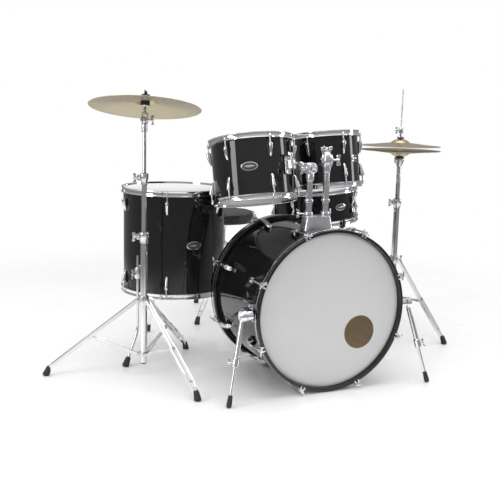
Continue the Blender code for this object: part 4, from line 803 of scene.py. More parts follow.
for name, (place, radius, depth, turn, lugs, body) in DRUMS.items():
    end = depth / 2
    ears = [turn + 180 / lugs + 360 / lugs * index for index in range(lugs)]
    length = 0.036 if name == "snare" else 0.050
    for level, flip in (("top", Matrix()), ("bottom", FLIP)):
        angles = ears if level == "top" else [-ear for ear in ears]
        parts = [(CHROME, rim_shape(radius, end, angles, 144))]
        for angle in angles:
            parts += [(CHROME, shape) for shape in tension_rod(radius, end, angle, end - 0.034)]
            parts += [(CHROME, shape) for shape in slim_lug(radius, angle, end - 0.034, length)]
        replaced = [name + "_%s_rim" % level]
        piece(name + "_%s_rim_and_lugs" % level, body, parts, replaced, place @ flip)
    piece(name + "_batter_head_film", body,
          head_parts(COATED_FILM, radius, SHELL_WALL, end, 0.012, 96), [name + "_batter_head"], place)
    piece(name + "_bottom_head_film", body,
          head_parts(FRONT_FILM, radius, SHELL_WALL, end, 0.012, 96), (), place @ FLIP)

# ---------------------------------------------------------------- tom mount and posts
# A polished die-cast saddle sits on top of the bass drum and holds two steel posts, each gripped by a
# collar with a wing screw. A post ends in the toothed disc that its tom arm tilts on.

POST_SPREAD = 0.068
POST_RADIUS = 0.0115
SADDLE_TOP = BASS_TOP + 0.046
TILTER_RADIUS = 0.021
TILTERS = {"large_tom": Vector((-POST_SPREAD / 2, MOUNT_Y, BASS_TOP + 0.2174)),
           "small_tom": Vector((POST_SPREAD / 2, MOUNT_Y, BASS_TOP + 0.2474))}

SATIN = finish("satin die casting", 60, (0.67, 0.68, 0.69), (0.76, 0.77, 0.785), (220, 0.20, 0.32),
               (600, 0.10, 0.0003), 1.0)


def saddle(steps=48):
    vertices = []
    rows = []
    for share in (0, 0.12, 0.5, 0.9, 0.97, 1.0):
        half_x = 0.059 + (0.048 - 0.059) * share - (0.002 if share == 1.0 else 0)
        half_y = 0.029 + (0.023 - 0.029) * share - (0.002 if share == 1.0 else 0)
        rows.append(range(len(vertices), len(vertices) + steps))
        for step in range(steps):
            angle = 2 * math.pi * (step + 0.5) / steps
            x = math.copysign(abs(math.cos(angle)) ** 0.35, math.cos(angle)) * half_x
            y = math.copysign(abs(math.sin(angle)) ** 0.35, math.sin(angle)) * half_y
            low = BASS_AXIS_Z + math.sqrt((BASS_RADIUS + 0.0004) ** 2 - x ** 2)
            vertices.append(Vector((x, MOUNT_Y + y, low + (SADDLE_TOP - low) * share)))
    return vertices, capped(rows)


mount = [(SATIN, saddle())]
for x in (-POST_SPREAD / 2, POST_SPREAD / 2):
    foot = Vector((x, MOUNT_Y, SADDLE_TOP))
    mount.append((CHROME,
                  moved(lathe(rounded([(POST_RADIUS + 0.0006, -0.002), (POST_RADIUS + 0.0048, -0.002),
                                       (POST_RADIUS + 0.0040, 0.014), (POST_RADIUS + 0.0006, 0.014)],
                                      0.0012, 2), 32, True), Matrix.Translation(foot))))
    end = Vector((x * 1.9, MOUNT_Y + 0.020, SADDLE_TOP + 0.006))
    mount.append((CHROME, rod(foot + (end - foot) * 0.35 + UP * 0.003, end, 0.0035, 14)))
    mount += wing_nut(end, end - foot, UP, 0.85)
piece("tom_mount_saddle", "kit", mount, ["tom_mount_base"])


def toothed_disc(radius, half, teeth=36):
    """Disc along +Z with fine teeth pressed into its rim."""
    vertices, faces = lathe([(0, -half), (radius * 0.72, -half), (radius * 0.80, -half + 0.0012),
                             (radius - 0.0014, -half + 0.0012), (radius, -half + 0.0024),
                             (radius, half - 0.0024), (radius - 0.0014, half - 0.0012),
                             (radius * 0.80, half - 0.0012), (radius * 0.72, half), (0, half)], teeth * 2)
    for vertex in vertices:
        out = math.hypot(vertex.x, vertex.y)
        if out > radius * 0.97:
            step = round(math.atan2(vertex.y, vertex.x) / (math.pi / teeth))
            if step % 2:
                vertex.x *= 0.965
                vertex.y *= 0.965
    return vertices, faces


BRACKET_STAND = 0.036
for name, bracket_turn in (("large_tom", -58.4), ("small_tom", -118.5)):
    place, radius, depth, turn, lugs, body = DRUMS[name]
    tilter = TILTERS[name]
    in_kit = KIT.inverted() @ place
    bracket = in_kit @ polar(radius + BRACKET_STAND, bracket_turn)
    level = Vector((bracket.x - tilter.x, bracket.y - tilter.y, 0)).normalized()
    axis = level.cross(UP)
    side_frame = axes(axis.cross(UP), UP, axis)
    post = [(CHROME,
             rod((tilter.x, tilter.y, BASS_TOP - 0.060), tilter - UP * 0.010, POST_RADIUS, 28, 0.001)),
            (CHROME, moved(toothed_disc(TILTER_RADIUS, 0.0122), Matrix.Translation(tilter) @ side_frame)),
            (SATIN,
             moved(loft([(-0.046, 0.0128, 0.0128, 0), (-0.040, 0.0145, 0.0140, 0),
                         (-0.022, 0.0155, 0.0138, 0), (-0.012, 0.0120, 0.0118, 0)], 24, 0.8),
                   Matrix.Translation(tilter) @ axes(level, axis, UP)))]
    lock = washer(POST_RADIUS, POST_RADIUS + 0.0042, 0, 0.012, 0.0012, 2, 28)
    post.append((CHROME, moved(lock, Matrix.Translation((tilter.x, tilter.y, SADDLE_TOP + 0.0485)))))
    piece(name + "_post_chrome", name + "_post", post, [name + "_post"])

    # The arm: two cheeks round the toothed disc, a bridge, a bent steel bar and a clamp on the tom.
    upright = axes(level, axis, UP)
    arm = []
    for hand in (-1, 1):
        cheek = Matrix.Translation(tilter + axis * hand * 0.0164) @ side_frame
        arm.append((SATIN,
                    moved(lathe([(0, -0.0034), (0.0175, -0.0034), (0.0192, -0.0018), (0.0192, 0.0018),
                                 (0.0175, 0.0034), (0, 0.0034)], 40), cheek)))
        arm.append((SATIN,
                    block((0.034, 0.0066, 0.027), (0.019, hand * 0.0164, 0.001),
                          Matrix.Translation(tilter) @ upright, 0.003)))
    arm.append((SATIN,
                moved(loft([(0.0275, 0.0165, 0.0185, 0), (0.034, 0.0178, 0.0195, 0),
                            (0.044, 0.0165, 0.0165, 0), (0.050, 0.0110, 0.0110, 0)], 28, 0.75),
                      Matrix.Translation(tilter) @ axes(UP, axis, level))))
    for hand in (-1, 1):
        arm.append((CHROME,
                    rod(tilter + axis * hand * 0.0190, tilter + axis * hand * 0.0235, 0.0085, 6, 0.001)))
    # The wing nut is on the side away from the other arm.
    outer = axis * (-1 if name == "large_tom" else 1)
    arm.append((CHROME, rod(tilter + outer * 0.022, tilter + outer * 0.036, 0.0040, 16)))
    arm += wing_nut(tilter + outer * 0.038, outer, UP, 1.15)
    if name == "small_tom":
        # A domed cap covers this disc, with a second wing nut on top.
        cap = loft([(-0.002, 0.0230, 0.0160, 0), (0.012, 0.0222, 0.0158, 0), (0.021, 0.0180, 0.0145, 0),
                    (0.028, 0.0110, 0.0105, 0), (0.031, 0.0045, 0.0045, 0)], 32, 0.8)
        arm.append((SATIN, moved(cap, Matrix.Translation(tilter) @ upright)))
        arm.append((CHROME, rod(tilter + UP * 0.028, tilter + UP * 0.038, 0.0038, 14)))
        arm += wing_nut(tilter + UP * 0.040, UP, axis, 1.0)
    inward = (in_kit.to_3x3() @ polar(-1, bracket_turn)).normalized()
    shell_face = in_kit @ polar(radius, bracket_turn)
    bar_path = bent([tilter + level * 0.034, bracket - inward * 0.030,
                     shell_face + (bracket - shell_face) * 0.35], 0.014)
    arm.append((CHROME, sweep(bar_path, 0.0065, 20)))
    on_tom = in_kit @ turned_by(bracket_turn)
    arm.append((SATIN,
                moved(loft([(-0.034, 0.0015, 0.012, radius + 0.0025),
                            (-0.031, 0.0042, 0.0175, radius + 0.0046),
                            (0.031, 0.0042, 0.0175, radius + 0.0046),
                            (0.034, 0.0015, 0.012, radius + 0.0025)], 28, 0.5), on_tom)))
    arm.append((SATIN,
                moved(loft([(-0.018, 0.012, 0.0115, radius + 0.018),
                            (-0.015, 0.0165, 0.0150, radius + 0.0195),
                            (0.015, 0.0165, 0.0150, radius + 0.0195),
                            (0.018, 0.012, 0.0115, radius + 0.018)], 28, 0.6), on_tom)))
    stem = Vector((radius + BRACKET_STAND * 0.62, 0, 0))
    arm.append((CHROME, rod(on_tom @ (stem + UP * 0.014), on_tom @ (stem + UP * 0.034), 0.0038, 14)))
    arm += wing_nut(on_tom @ (stem + UP * 0.036), on_tom.to_3x3() @ UP,
                    on_tom.to_3x3() @ Vector((0, 1, 0)), 1.1)
    for height in (-0.025, 0.025):
        arm.append((CHROME,
                    rod(on_tom @ Vector((radius + 0.006, 0, height)),
                        on_tom @ Vector((radius + 0.0125, 0, height)), 0.0042, 6)))
    piece(name + "_arm_chrome", name + "_arm", arm, [name + "_arm"])

# ---------------------------------------------------------------- floor tom legs
# Three bent steel rods run through die-cast brackets on the shell, each gripped by a wing screw, and
# stand on bell-shaped rubber feet.

LEG_TURNS = [DRUMS["floor_tom"][3] + 60 + 120 * index for index in range(3)]
LEG_OUT = FLOOR_TOM_RADIUS + 0.025
floor_tom_foot = Vector((FLOOR_TOM_AT.x, FLOOR_TOM_AT.y, 0))


def rubber_bell(foot, towards, height=0.036, radius=0.0125):
    """A rubber foot pushed on a bar: wide at the floor, narrow at the top."""
    profile = [(0, 0.0004), (radius - 0.002, 0.0004), (radius, 0.0030), (radius, height * 0.30),
               (radius * 0.93, height * 0.42), (radius * 0.84, height * 0.70),
               (radius * 0.76, height * 0.88), (radius * 0.62, height), (0, height)]
    vertices, faces = lathe(profile, 28)
    matrix = between(foot, towards)
    placed = [matrix @ vertex for vertex in vertices]
    for vertex in placed:
        vertex.z = max(vertex.z, 0.0003)
    return placed, faces


brackets = []
for index, angle in enumerate(LEG_TURNS):
    on_shell = Matrix.Translation((FLOOR_TOM_AT.x, FLOOR_TOM_AT.y, 0.360)) @ turned_by(angle)
    brackets.append((SATIN,
                     moved(loft([(-0.026, 0.0015, 0.012, FLOOR_TOM_RADIUS + 0.002),
                                 (-0.023, 0.0032, 0.0175, FLOOR_TOM_RADIUS + 0.0036),
                                 (0.023, 0.0032, 0.0175, FLOOR_TOM_RADIUS + 0.0036),
                                 (0.026, 0.0015, 0.012, FLOOR_TOM_RADIUS + 0.002)], 28, 0.5), on_shell)))
    brackets.append((SATIN,
                     moved(lathe([(0.0062, -0.022), (0.0105, -0.022), (0.0122, -0.019), (0.0122, 0.019),
                                  (0.0105, 0.022), (0.0062, 0.022)], 32, True),
                           on_shell @ Matrix.Translation((LEG_OUT, 0, 0)))))
    brackets.append((SATIN,
                     block((0.022, 0.016, 0.036), (FLOOR_TOM_RADIUS + 0.0085, 0, 0), on_shell, 0.003)))
    brackets.append((CHROME,
                     rod(on_shell @ Vector((LEG_OUT + 0.011, 0, 0)),
                         on_shell @ Vector((LEG_OUT + 0.024, 0, 0)), 0.0038, 14)))
    brackets += wing_nut(on_shell @ Vector((LEG_OUT + 0.026, 0, 0)),
                         on_shell.to_3x3() @ Vector((1, 0, 0)), UP, 1.1)
    for height in (-0.018, 0.018):
        brackets.append((CHROME,
                         rod(on_shell @ Vector((FLOOR_TOM_RADIUS + 0.004, 0.013, height)),
                             on_shell @ Vector((FLOOR_TOM_RADIUS + 0.0095, 0.013, height)), 0.0035, 6)))
    foot = floor_tom_foot + polar(FLOOR_TOM_RADIUS + 0.100, angle)
    bend = floor_tom_foot + polar(LEG_OUT, angle, 0.125)
    top = floor_tom_foot + polar(LEG_OUT, angle, 0.425)
    low_end = foot + (bend - foot).normalized() * 0.012
    leg = [(CHROME, sweep(bent([top, bend, low_end], 0.030, 8), 0.0055, 20)),
           (CHROME, rod(top - UP * 0.001, top + UP * 0.0035, 0.0040, 16)),
           (RUBBER, rubber_bell(foot, bend, 0.040, 0.0130))]
    piece("floor_tom_leg_%d_chrome" % (index + 1), "floor_tom_leg_%d" % (index + 1), leg,
          ["floor_tom_leg_%d" % (index + 1)])
piece("floor_tom_leg_brackets", "kit", brackets)

# ---------------------------------------------------------------- stands: tubes, clamps and folding legs
# Chromed steel tubes slide in each other and are held by hinged clamps with wing bolts. Legs are pairs of
# pressed steel strips, riveted to a collar and to flat braces, on rubber feet.

BASE_TUBE = 0.0127
MID_TUBE = 0.0095
TOP_TUBE = 0.0064
CLAMP_HEIGHT = 0.044
PIVOT_OUT = 0.026

NYLON = finish("black nylon bushing", 90, (0.014, 0.014, 0.015), (0.030, 0.030, 0.031), (200, 0.38, 0.5),
               (700, 0.12, 0.0002))


def tube_clamp(high, radius, screw_turn, inner):
    """Clamp at the top of a tube: split casting, nylon bushing and wing bolt."""
    middle = high - CLAMP_HEIGHT * 0.4
    body = lathe([(radius + 0.0004, high - CLAMP_HEIGHT), (radius + 0.0025, high - CLAMP_HEIGHT + 0.0005),
                  (radius + 0.0032, high - CLAMP_HEIGHT * 0.62),
                  (radius + 0.0056, high - CLAMP_HEIGHT * 0.55), (radius + 0.0060, high - 0.006),
                  (radius + 0.0048, high - 0.0025), (inner + 0.0022, high - 0.0025),
                  (inner + 0.0022, high - CLAMP_HEIGHT)], 36, True)
    turn = turned_by(screw_turn)
    shapes = [(SATIN, body),
              (NYLON, washer(inner + 0.0004, inner + 0.0024, high - 0.012, high, 0.0004, 1, 32)),
              (SATIN, block((0.012, 0.016, 0.022), (radius + 0.010, 0, middle), turn, 0.003)),
              (CHROME,
               rod(polar(radius + 0.012, screw_turn, middle), polar(radius + 0.024, screw_turn, middle),
                   0.0034, 14)),
              (CHROME,
               rod(turn @ Vector((radius + 0.010, -0.012, middle)),
                   turn @ Vector((radius + 0.010, 0.012, middle)), 0.0045, 6))]
    return shapes + wing_nut(polar(radius + 0.0245, screw_turn, middle), polar(1, screw_turn), UP, 0.95)


def tube(low, high, radius, wall=0.0016, steps=32):
    """Hollow steel tube, open at the top."""
    return lathe([(0, low), (radius - 0.0005, low), (radius, low + 0.0005), (radius, high - 0.0004),
                  (radius - 0.0004, high), (radius - wall, high), (radius - wall, low + wall),
                  (0, low + wall)], steps)


def flat_bar(points, width, thickness, across):
    """A flat steel bar with eased edges, along points in the plane whose normal is across."""
    points = [Vector(point) for point in points]
    across = Vector(across).normalized()
    ease = min(0.0007, thickness * 0.3)
    half_w = width / 2
    half_t = thickness / 2
    outline = [(half_w, half_t - ease), (half_w - ease, half_t), (ease - half_w, half_t),
               (-half_w, half_t - ease), (-half_w, ease - half_t), (ease - half_w, -half_t),
               (half_w - ease, -half_t), (half_w, ease - half_t)]
    vertices = []
    rows = []
    for index, point in enumerate(points):
        before = (point - points[index - 1]).normalized() if index else None
        after = (points[index + 1] - point).normalized() if index + 1 < len(points) else None
        along = ((before or after) + (after or before)).normalized()
        side = along.cross(across)
        rows.append(range(len(vertices), len(vertices) + 8))
        vertices += [point + side * u + across * v for u, v in outline]
    return vertices, capped(rows)


def rivet(at, across, half):
    return rod(at - across * half, at + across * half, 0.0036, 14, 0.0010)


def leg_parts(turn, reach, pivot_z):
    """Two strips that run from the collar, spread at the middle and meet at a rubber foot."""
    across = polar(1, turn + 90)
    start = polar(PIVOT_OUT, turn, pivot_z)
    knee = polar(reach - 0.026, turn, 0.040)
    end = polar(reach - 0.006, turn, 0.018)
    parts = []
    for hand in (-1, 1):
        narrow = across * hand * 0.0063
        wide = across * hand * 0.0105
        points = [start + narrow, start.lerp(knee, 0.50) + narrow, start.lerp(knee, 0.58) + wide,
                  start.lerp(knee, 0.90) + wide, knee + narrow, end + narrow * 0.8]
        parts.append((CHROME, flat_bar(points, 0.0135, 0.0024, across)))
    parts += [(CHROME, rivet(start, across, 0.0098)),
              (CHROME, rivet(start.lerp(knee, 0.56), across, 0.0128)),
              (CHROME, rivet(start.lerp(knee, 0.93), across, 0.0110)),
              (RUBBER, rubber_bell(polar(reach, turn, 0), knee + UP * 0.020, 0.038, 0.0125))]
    return parts


def brace_parts(turn, reach, pivot_z, low_z):
    across = polar(1, turn + 90)
    low = polar(PIVOT_OUT, turn, low_z)
    start = polar(PIVOT_OUT, turn, pivot_z)
    high = start.lerp(polar(reach - 0.026, turn, 0.040), 0.56)
    parts = [(CHROME,
              flat_bar([low + across * hand * 0.0063, low.lerp(high, 0.30) + across * hand * 0.0063,
                        low.lerp(high, 0.36) + across * hand * 0.0035, high + across * hand * 0.0035],
                       0.0110, 0.0020, across)) for hand in (-1, 1)]
    return parts + [(CHROME, rivet(low, across, 0.0090))]


def collar_parts(at_z, turn, inner, height):
    ring = lathe(rounded([(inner, at_z - height / 2), (inner + 0.006, at_z - height / 2),
                          (inner + 0.006, at_z + height / 2), (inner, at_z + height / 2)], 0.0015, 2), 32,
                 True)
    ears = [(SATIN,
             block((PIVOT_OUT - inner + 0.005, 0.0066, 0.015), ((PIVOT_OUT + inner + 0.005) / 2, 0, at_z),
                   turned_by(turn + 120 * index), 0.002)) for index in range(3)]
    return [(SATIN, ring)] + ears


def tripod_parts(turn, reach, collar_z, low_z, radius):
    """Legs, braces and collars of a stand whose tripod stays open."""
    parts = collar_parts(collar_z, turn, radius + 0.0004, 0.034) + collar_parts(low_z, turn,
            radius + 0.0004, 0.016)
    for index in range(3):
        parts += leg_parts(turn + 120 * index, reach, collar_z)
        parts += brace_parts(turn + 120 * index, reach, collar_z, low_z)
    screw = turn + 60
    parts += [(CHROME,
               rod(polar(radius + 0.005, screw, collar_z), polar(radius + 0.018, screw, collar_z), 0.0034,
                   14))]
    return parts + wing_nut(polar(radius + 0.020, screw, collar_z), polar(1, screw), UP, 0.95)


CRASH_LEFT = 0.00385
CRASH_BEFORE = 0.27115
CRASH_AXIS = Vector((FLOOR_TOM_AT.x - FLOOR_TOM_RADIUS - CRASH_LEFT, FLOOR_TOM_AT.y - CRASH_BEFORE, 0))
CRASH = KIT @ Matrix.Translation(CRASH_AXIS)
CRASH_TURN = 44.5
CRASH_REACH = 0.363
CRASH_BASE_TOP = 0.544
CRASH_MID_TOP = 0.760
CRASH_COLLAR_Z = 0.284
CRASH_LOW_COLLAR_Z = 0.078
CRASH_TILTER_Z = 0.950

base = [(CHROME, tube(0.045, CRASH_BASE_TOP - 0.002, BASE_TUBE)),
        (NYLON, rod((0, 0, 0.041), (0, 0, 0.050), BASE_TUBE - 0.001, 28))]
piece("crash_base_tube_chrome", "kit",
      base + collar_parts(CRASH_LOW_COLLAR_Z, CRASH_TURN, BASE_TUBE, 0.016)
      + tube_clamp(CRASH_BASE_TOP, BASE_TUBE, 180, MID_TUBE), ["crash_base_tube"], CRASH)
piece("crash_leg_collar", "crash_collar",
      collar_parts(CRASH_COLLAR_Z, CRASH_TURN, BASE_TUBE + 0.0004, 0.036), ["crash_collar"], CRASH)
for index in range(3):
    angle = CRASH_TURN + 120 * index
    piece("crash_leg_%d_strips" % (index + 1), "crash_leg_%d" % (index + 1),
          leg_parts(angle, CRASH_REACH, CRASH_COLLAR_Z), ["crash_leg_%d" % (index + 1)], CRASH)
    piece("crash_brace_%d_strips" % (index + 1), "crash_brace_%d" % (index + 1),
          brace_parts(angle, CRASH_REACH, CRASH_COLLAR_Z, CRASH_LOW_COLLAR_Z),
          ["crash_brace_%d" % (index + 1)], CRASH)
piece("crash_middle_tube_chrome", "crash_mid_tube",
      [(CHROME, tube(CRASH_BASE_TOP - 0.130, CRASH_MID_TOP - 0.002, MID_TUBE, 0.0014))]
      + tube_clamp(CRASH_MID_TOP, MID_TUBE, 180, TOP_TUBE), ["crash_mid_tube"], CRASH)
lean_to = polar(1, 62.0)
across = lean_to.cross(UP)
tilt_frame = axes(lean_to, UP, across)
ratchet = Matrix.Translation(UP * CRASH_TILTER_Z) @ tilt_frame
piece("crash_top_tube_chrome", "crash_top_tube",
      [(CHROME, rod((0, 0, CRASH_MID_TOP - 0.130), (0, 0, CRASH_TILTER_Z - 0.006), TOP_TUBE, 28)),
       (SATIN,
        moved(lathe([(0.0064, -0.044), (0.0098, -0.043), (0.0108, -0.030), (0.0108, -0.018),
                     (0.0085, -0.012), (0.0064, -0.012)], 28, True),
              Matrix.Translation(UP * CRASH_TILTER_Z))),
       (CHROME, moved(toothed_disc(0.014, 0.0058, 24), ratchet))], ["crash_top_tube"], CRASH)

# The tilter: two cheeks on the toothed disc, a threaded spindle with a sleeve, felts and a wing nut.
FELT = finish("pressed black felt", 700, (0.010, 0.010, 0.010), (0.045, 0.045, 0.044), (300, 0.85, 1.0),
              (1200, 0.6, 0.0008))

TILTED = CRASH @ Matrix.Translation(UP * CRASH_TILTER_Z) @ Matrix.Rotation(math.radians(-12.3), 4, across)
BELL_TOP = 0.0790


def threaded(start_z, end_z, radius, pitch=0.0010):
    """A threaded rod along +Z: ridges a pitch apart."""
    count = int((end_z - start_z) / pitch)
    profile = [(0, start_z)]
    for index in range(count):
        height = start_z + index * pitch
        profile += [(radius - 0.0004, height), (radius, height + pitch * 0.5)]
    return lathe(profile + [(radius - 0.0004, end_z), (0, end_z)], 18)


tilter_parts = []
for hand in (-1, 1):
    tilter_parts.append((SATIN, rod(across * hand * 0.0064, across * hand * 0.0110, 0.0130, 32, 0.001)))
    tilter_parts.append((SATIN,
                         block((0.0175, 0.024, 0.0042), (0, 0.012, hand * 0.0088), tilt_frame, 0.0012)))
tilter_parts += [(SATIN, block((0.018, 0.0075, 0.0215), (0, 0.0236, 0), tilt_frame, 0.002)),
                 (CHROME, rod(across * 0.0105, across * 0.024, 0.0036, 14)),
                 (CHROME, rod(-across * 0.0150, -across * 0.0105, 0.0060, 6))]
tilter_parts += wing_nut(across * 0.026, across, UP, 1.0)
tilter_parts += [(CHROME, threaded(0.026, 0.106, 0.0032)),
                 (CHROME, rod(UP * 0.026, UP * 0.052, 0.0055, 20)),
                 (CHROME, washer(0.0034, 0.0150, 0.0500, 0.0522, 0.0005, 1, 32)),
                 (FELT,
                  lathe(rounded([(0.0034, 0.0524), (0.0160, 0.0524), (0.0165, 0.0725),
                                 (0.0080, BELL_TOP - 0.0026), (0.0034, BELL_TOP - 0.0026)], 0.0022, 3), 36,
                        True)),
                 (NYLON, washer(0.0034, 0.0042, BELL_TOP - 0.0022, BELL_TOP + 0.0006, 0.0001, 1, 24)),
                 (FELT,
                  lathe(rounded([(0.0034, BELL_TOP + 0.0010), (0.0075, BELL_TOP + 0.0010),
                                 (0.0160, BELL_TOP + 0.0052), (0.0158, BELL_TOP + 0.0125),
                                 (0.0034, BELL_TOP + 0.0125)], 0.0018, 3), 36, True))]
tilter_parts += wing_nut(UP * (BELL_TOP + 0.0175), UP, lean_to, 1.05, NYLON)
piece("crash_tilter_chrome", "crash_tilter", tilter_parts, ["crash_tilter"], TILTED)

# ---------------------------------------------------------------- cymbals
# Hammered and lathed bronze: a raised bell, a shallow bow and a thin edge. The lathe leaves fine rings
# round the hole, and the metal's tone drifts in broad random bands from the hole out to the edge.

BRONZE, shader, nodes, links = shader_of("lathed bronze")
place = nodes.new("ShaderNodeTexCoord")
spread_out = nodes.new("ShaderNodeSeparateXYZ")
links.new(place.outputs["Object"], spread_out.inputs[0])
flat = nodes.new("ShaderNodeCombineXYZ")
links.new(spread_out.outputs["X"], flat.inputs["X"])
links.new(spread_out.outputs["Y"], flat.inputs["Y"])
distance = nodes.new("ShaderNodeVectorMath")
distance.operation = 'LENGTH'
links.new(flat.outputs[0], distance.inputs[0])
rings = nodes.new("ShaderNodeTexNoise")
rings.noise_dimensions = '1D'
rings.inputs["Scale"].default_value = 1600
rings.inputs["Detail"].default_value = 4
links.new(distance.outputs["Value"], rings.inputs["W"])
broad = nodes.new("ShaderNodeTexNoise")
broad.noise_dimensions = '1D'
broad.inputs["Scale"].default_value = 60
links.new(distance.outputs["Value"], broad.inputs["W"])
both = nodes.new("ShaderNodeMath")
both.operation = 'MULTIPLY_ADD'
both.inputs[1].default_value = 0.5
links.new(rings.outputs["Fac"], both.inputs[0])
half = nodes.new("ShaderNodeMath")
half.operation = 'MULTIPLY'
half.inputs[1].default_value = 0.5
links.new(broad.outputs["Fac"], half.inputs[0])
links.new(half.outputs[0], both.inputs[2])
contrast = nodes.new("ShaderNodeMapRange")
contrast.inputs["From Min"].default_value = 0.25
contrast.inputs["From Max"].default_value = 0.75
links.new(both.outputs[0], contrast.inputs["Value"])
links.new(two_tone(nodes, links, contrast.outputs["Result"], (0.43, 0.365, 0.225), (0.53, 0.455, 0.295)),
          shader.inputs["Base Color"])
shader.inputs["Metallic"].default_value = 1.0
links.new(uneven(nodes, 6, 0.27, 0.32), shader.inputs["Roughness"])
relief(nodes, links, shader, rings.outputs["Fac"], 0.20, 0.00015)

CYMBAL_THICKNESS = 0.0012
CRASH_BOW = 0.036


def cymbal_parts(radius, height, bell_height):
    bow = height - bell_height
    outline = [(0.0065, height), (0.0140, height - bell_height * 0.04),
               (0.0230, height - bell_height * 0.16), (0.0300, height - bell_height * 0.34),
               (0.0360, height - bell_height * 0.60), (0.0400, height - bell_height * 0.84),
               (0.0435, bow + 0.0003)]
    for index in range(1, 13):
        share = index / 12
        out = 0.0435 + (radius - 0.0435) * share
        outline.append((out,
                        CYMBAL_THICKNESS + (bow - CYMBAL_THICKNESS) * (1 - share) ** (1 + 0.35 * share)))
    top = outline[:-1] + [(radius - 0.0004, CYMBAL_THICKNESS)]
    under = [(out, up - CYMBAL_THICKNESS) for out, up in reversed(outline[:-1])]
    edge = [(radius, CYMBAL_THICKNESS * 0.6), (radius, CYMBAL_THICKNESS * 0.3), (radius - 0.0005, 0)]
    return [(BRONZE, lathe(top + edge + under, 128, True))]


piece("crash_cymbal_bronze", "crash_cymbal", cymbal_parts(8 * INCH, CRASH_BOW, 0.0165),
      ["crash_cymbal"], TILTED @ Matrix.Translation((0, 0, BELL_TOP - CRASH_BOW)))

# ---------------------------------------------------------------- hi-hat
# A braced tripod with a footboard. Pressing the board pulls a thin rod down through the tubes and closes
# the upper cymbal, held by its clutch, on the lower one, which rests upside down on a felt seat.

HAT_RADIUS = 7 * INCH
HAT_TURN = -67.0
HAT_GAP = 0.0273
HAT_BEARING = -12.4
HAT_AXIS = Vector((SNARE_AT.x, SNARE_AT.y, 0)) + polar(SNARE_RADIUS + HAT_RADIUS + HAT_GAP, HAT_BEARING)
HAT = KIT @ Matrix.Translation(HAT_AXIS)
HAT_BASE_TOP = 0.615
HAT_SEAT = 0.800
HAT_BOW = 0.030
HAT_OPEN = 0.018
HAT_EDGE = HAT_SEAT + 0.001 + GAP + HAT_BOW + HAT_OPEN

pedal_turn = HAT_TURN + 180
towards = turned_by(pedal_turn)
base = tripod_parts(HAT_TURN, 0.285, 0.338, 0.165, BASE_TUBE)
base += [(CHROME, tube(0.030, HAT_BASE_TOP - 0.002, BASE_TUBE)),
         (SATIN, rod((0, 0, 0.026), (0, 0, 0.040), 0.016, 28, 0.002))]
base += tube_clamp(HAT_BASE_TOP, BASE_TUBE, 180, MID_TUBE)
for hand in (-1, 1):
    rail = bent([towards @ Vector((0.004, hand * 0.013, 0.034)),
                 towards @ Vector((0.035, hand * 0.048, 0.008)),
                 towards @ Vector((0.318, hand * 0.048, 0.008))], 0.02)
    base.append((CHROME, sweep(rail, 0.0038, 16)))
base += [(SATIN,
          moved(loft([(0.0012, 0.025, 0.050, 0), (0.0035, 0.0272, 0.052, 0), (0.0095, 0.0265, 0.0505, 0),
                      (0.011, 0.0245, 0.048, 0)], 32, 0.35), towards @ Matrix.Translation((0.320, 0, 0)))),
         (SATIN, block((0.012, 0.070, 0.010), (0.295, 0, 0.010), towards, 0.002)),
         (RUBBER, block((0.050, 0.090, 0.0010), (0.320, 0, 0.0008), towards, 0.0003))]
piece("hat_base_chrome", "kit", base, ["hat_base"], HAT)


def board_outline(pivot, toe, width, toe_width, sections=14):
    """Cast footboard: a tapering plate with raised grip bars across it."""
    along = toe - pivot
    length = along.length
    vertices = []
    rows = []
    for index in range(sections + 1):
        share = index / sections
        half_width = width / 2 if share < 0.78 else width / 2 + (toe_width - width) / 2 * (share -
                0.78) / 0.22
        if share < 0.06:
            half_width *= 0.86 + 0.14 * share / 0.06
        rows.append(range(len(vertices), len(vertices) + 6))
        for y, lift in ((-half_width, 0.0012), (-half_width, 0.0032), (half_width, 0.0032),
                        (half_width, 0.0012),
                        (half_width * 0.9, -0.0022), (-half_width * 0.9, -0.0022)):
            vertices.append(Vector((share * length, y, lift)))
    shapes = [(vertices, capped(rows))]
    for index in range(9):
        at = length * (0.10 + 0.075 * index)
        shapes.append(block((0.0042, width * 0.74, 0.0022), (at, 0, 0.0036), ease=0.0008))
    for hand in (-1, 1):
        shapes.append(block((length * 0.70, 0.0030, 0.0030), (length * 0.42, hand * width * 0.43, 0.0040),
                            ease=0.0010))
    x_axis = along.normalized()
    side = UP.cross(x_axis).normalized()
    matrix = axes(x_axis, side, x_axis.cross(side))
    return [(SATIN, moved(shape, Matrix.Translation(pivot) @ matrix)) for shape in shapes]


hinge_at = towards @ Vector((0.289, 0, 0.024))
toe_at = towards @ Vector((0.046, 0, 0.112))
board = board_outline(hinge_at, toe_at, 0.082, 0.040)
side = polar(1, pedal_turn + 90)
board += [(CHROME,
           rod(hinge_at - side * 0.033 - UP * 0.004, hinge_at + side * 0.033 - UP * 0.004, 0.0036, 16))]
piece("hat_footboard_casting", "hat_footboard", board, ["hat_footboard"], HAT)

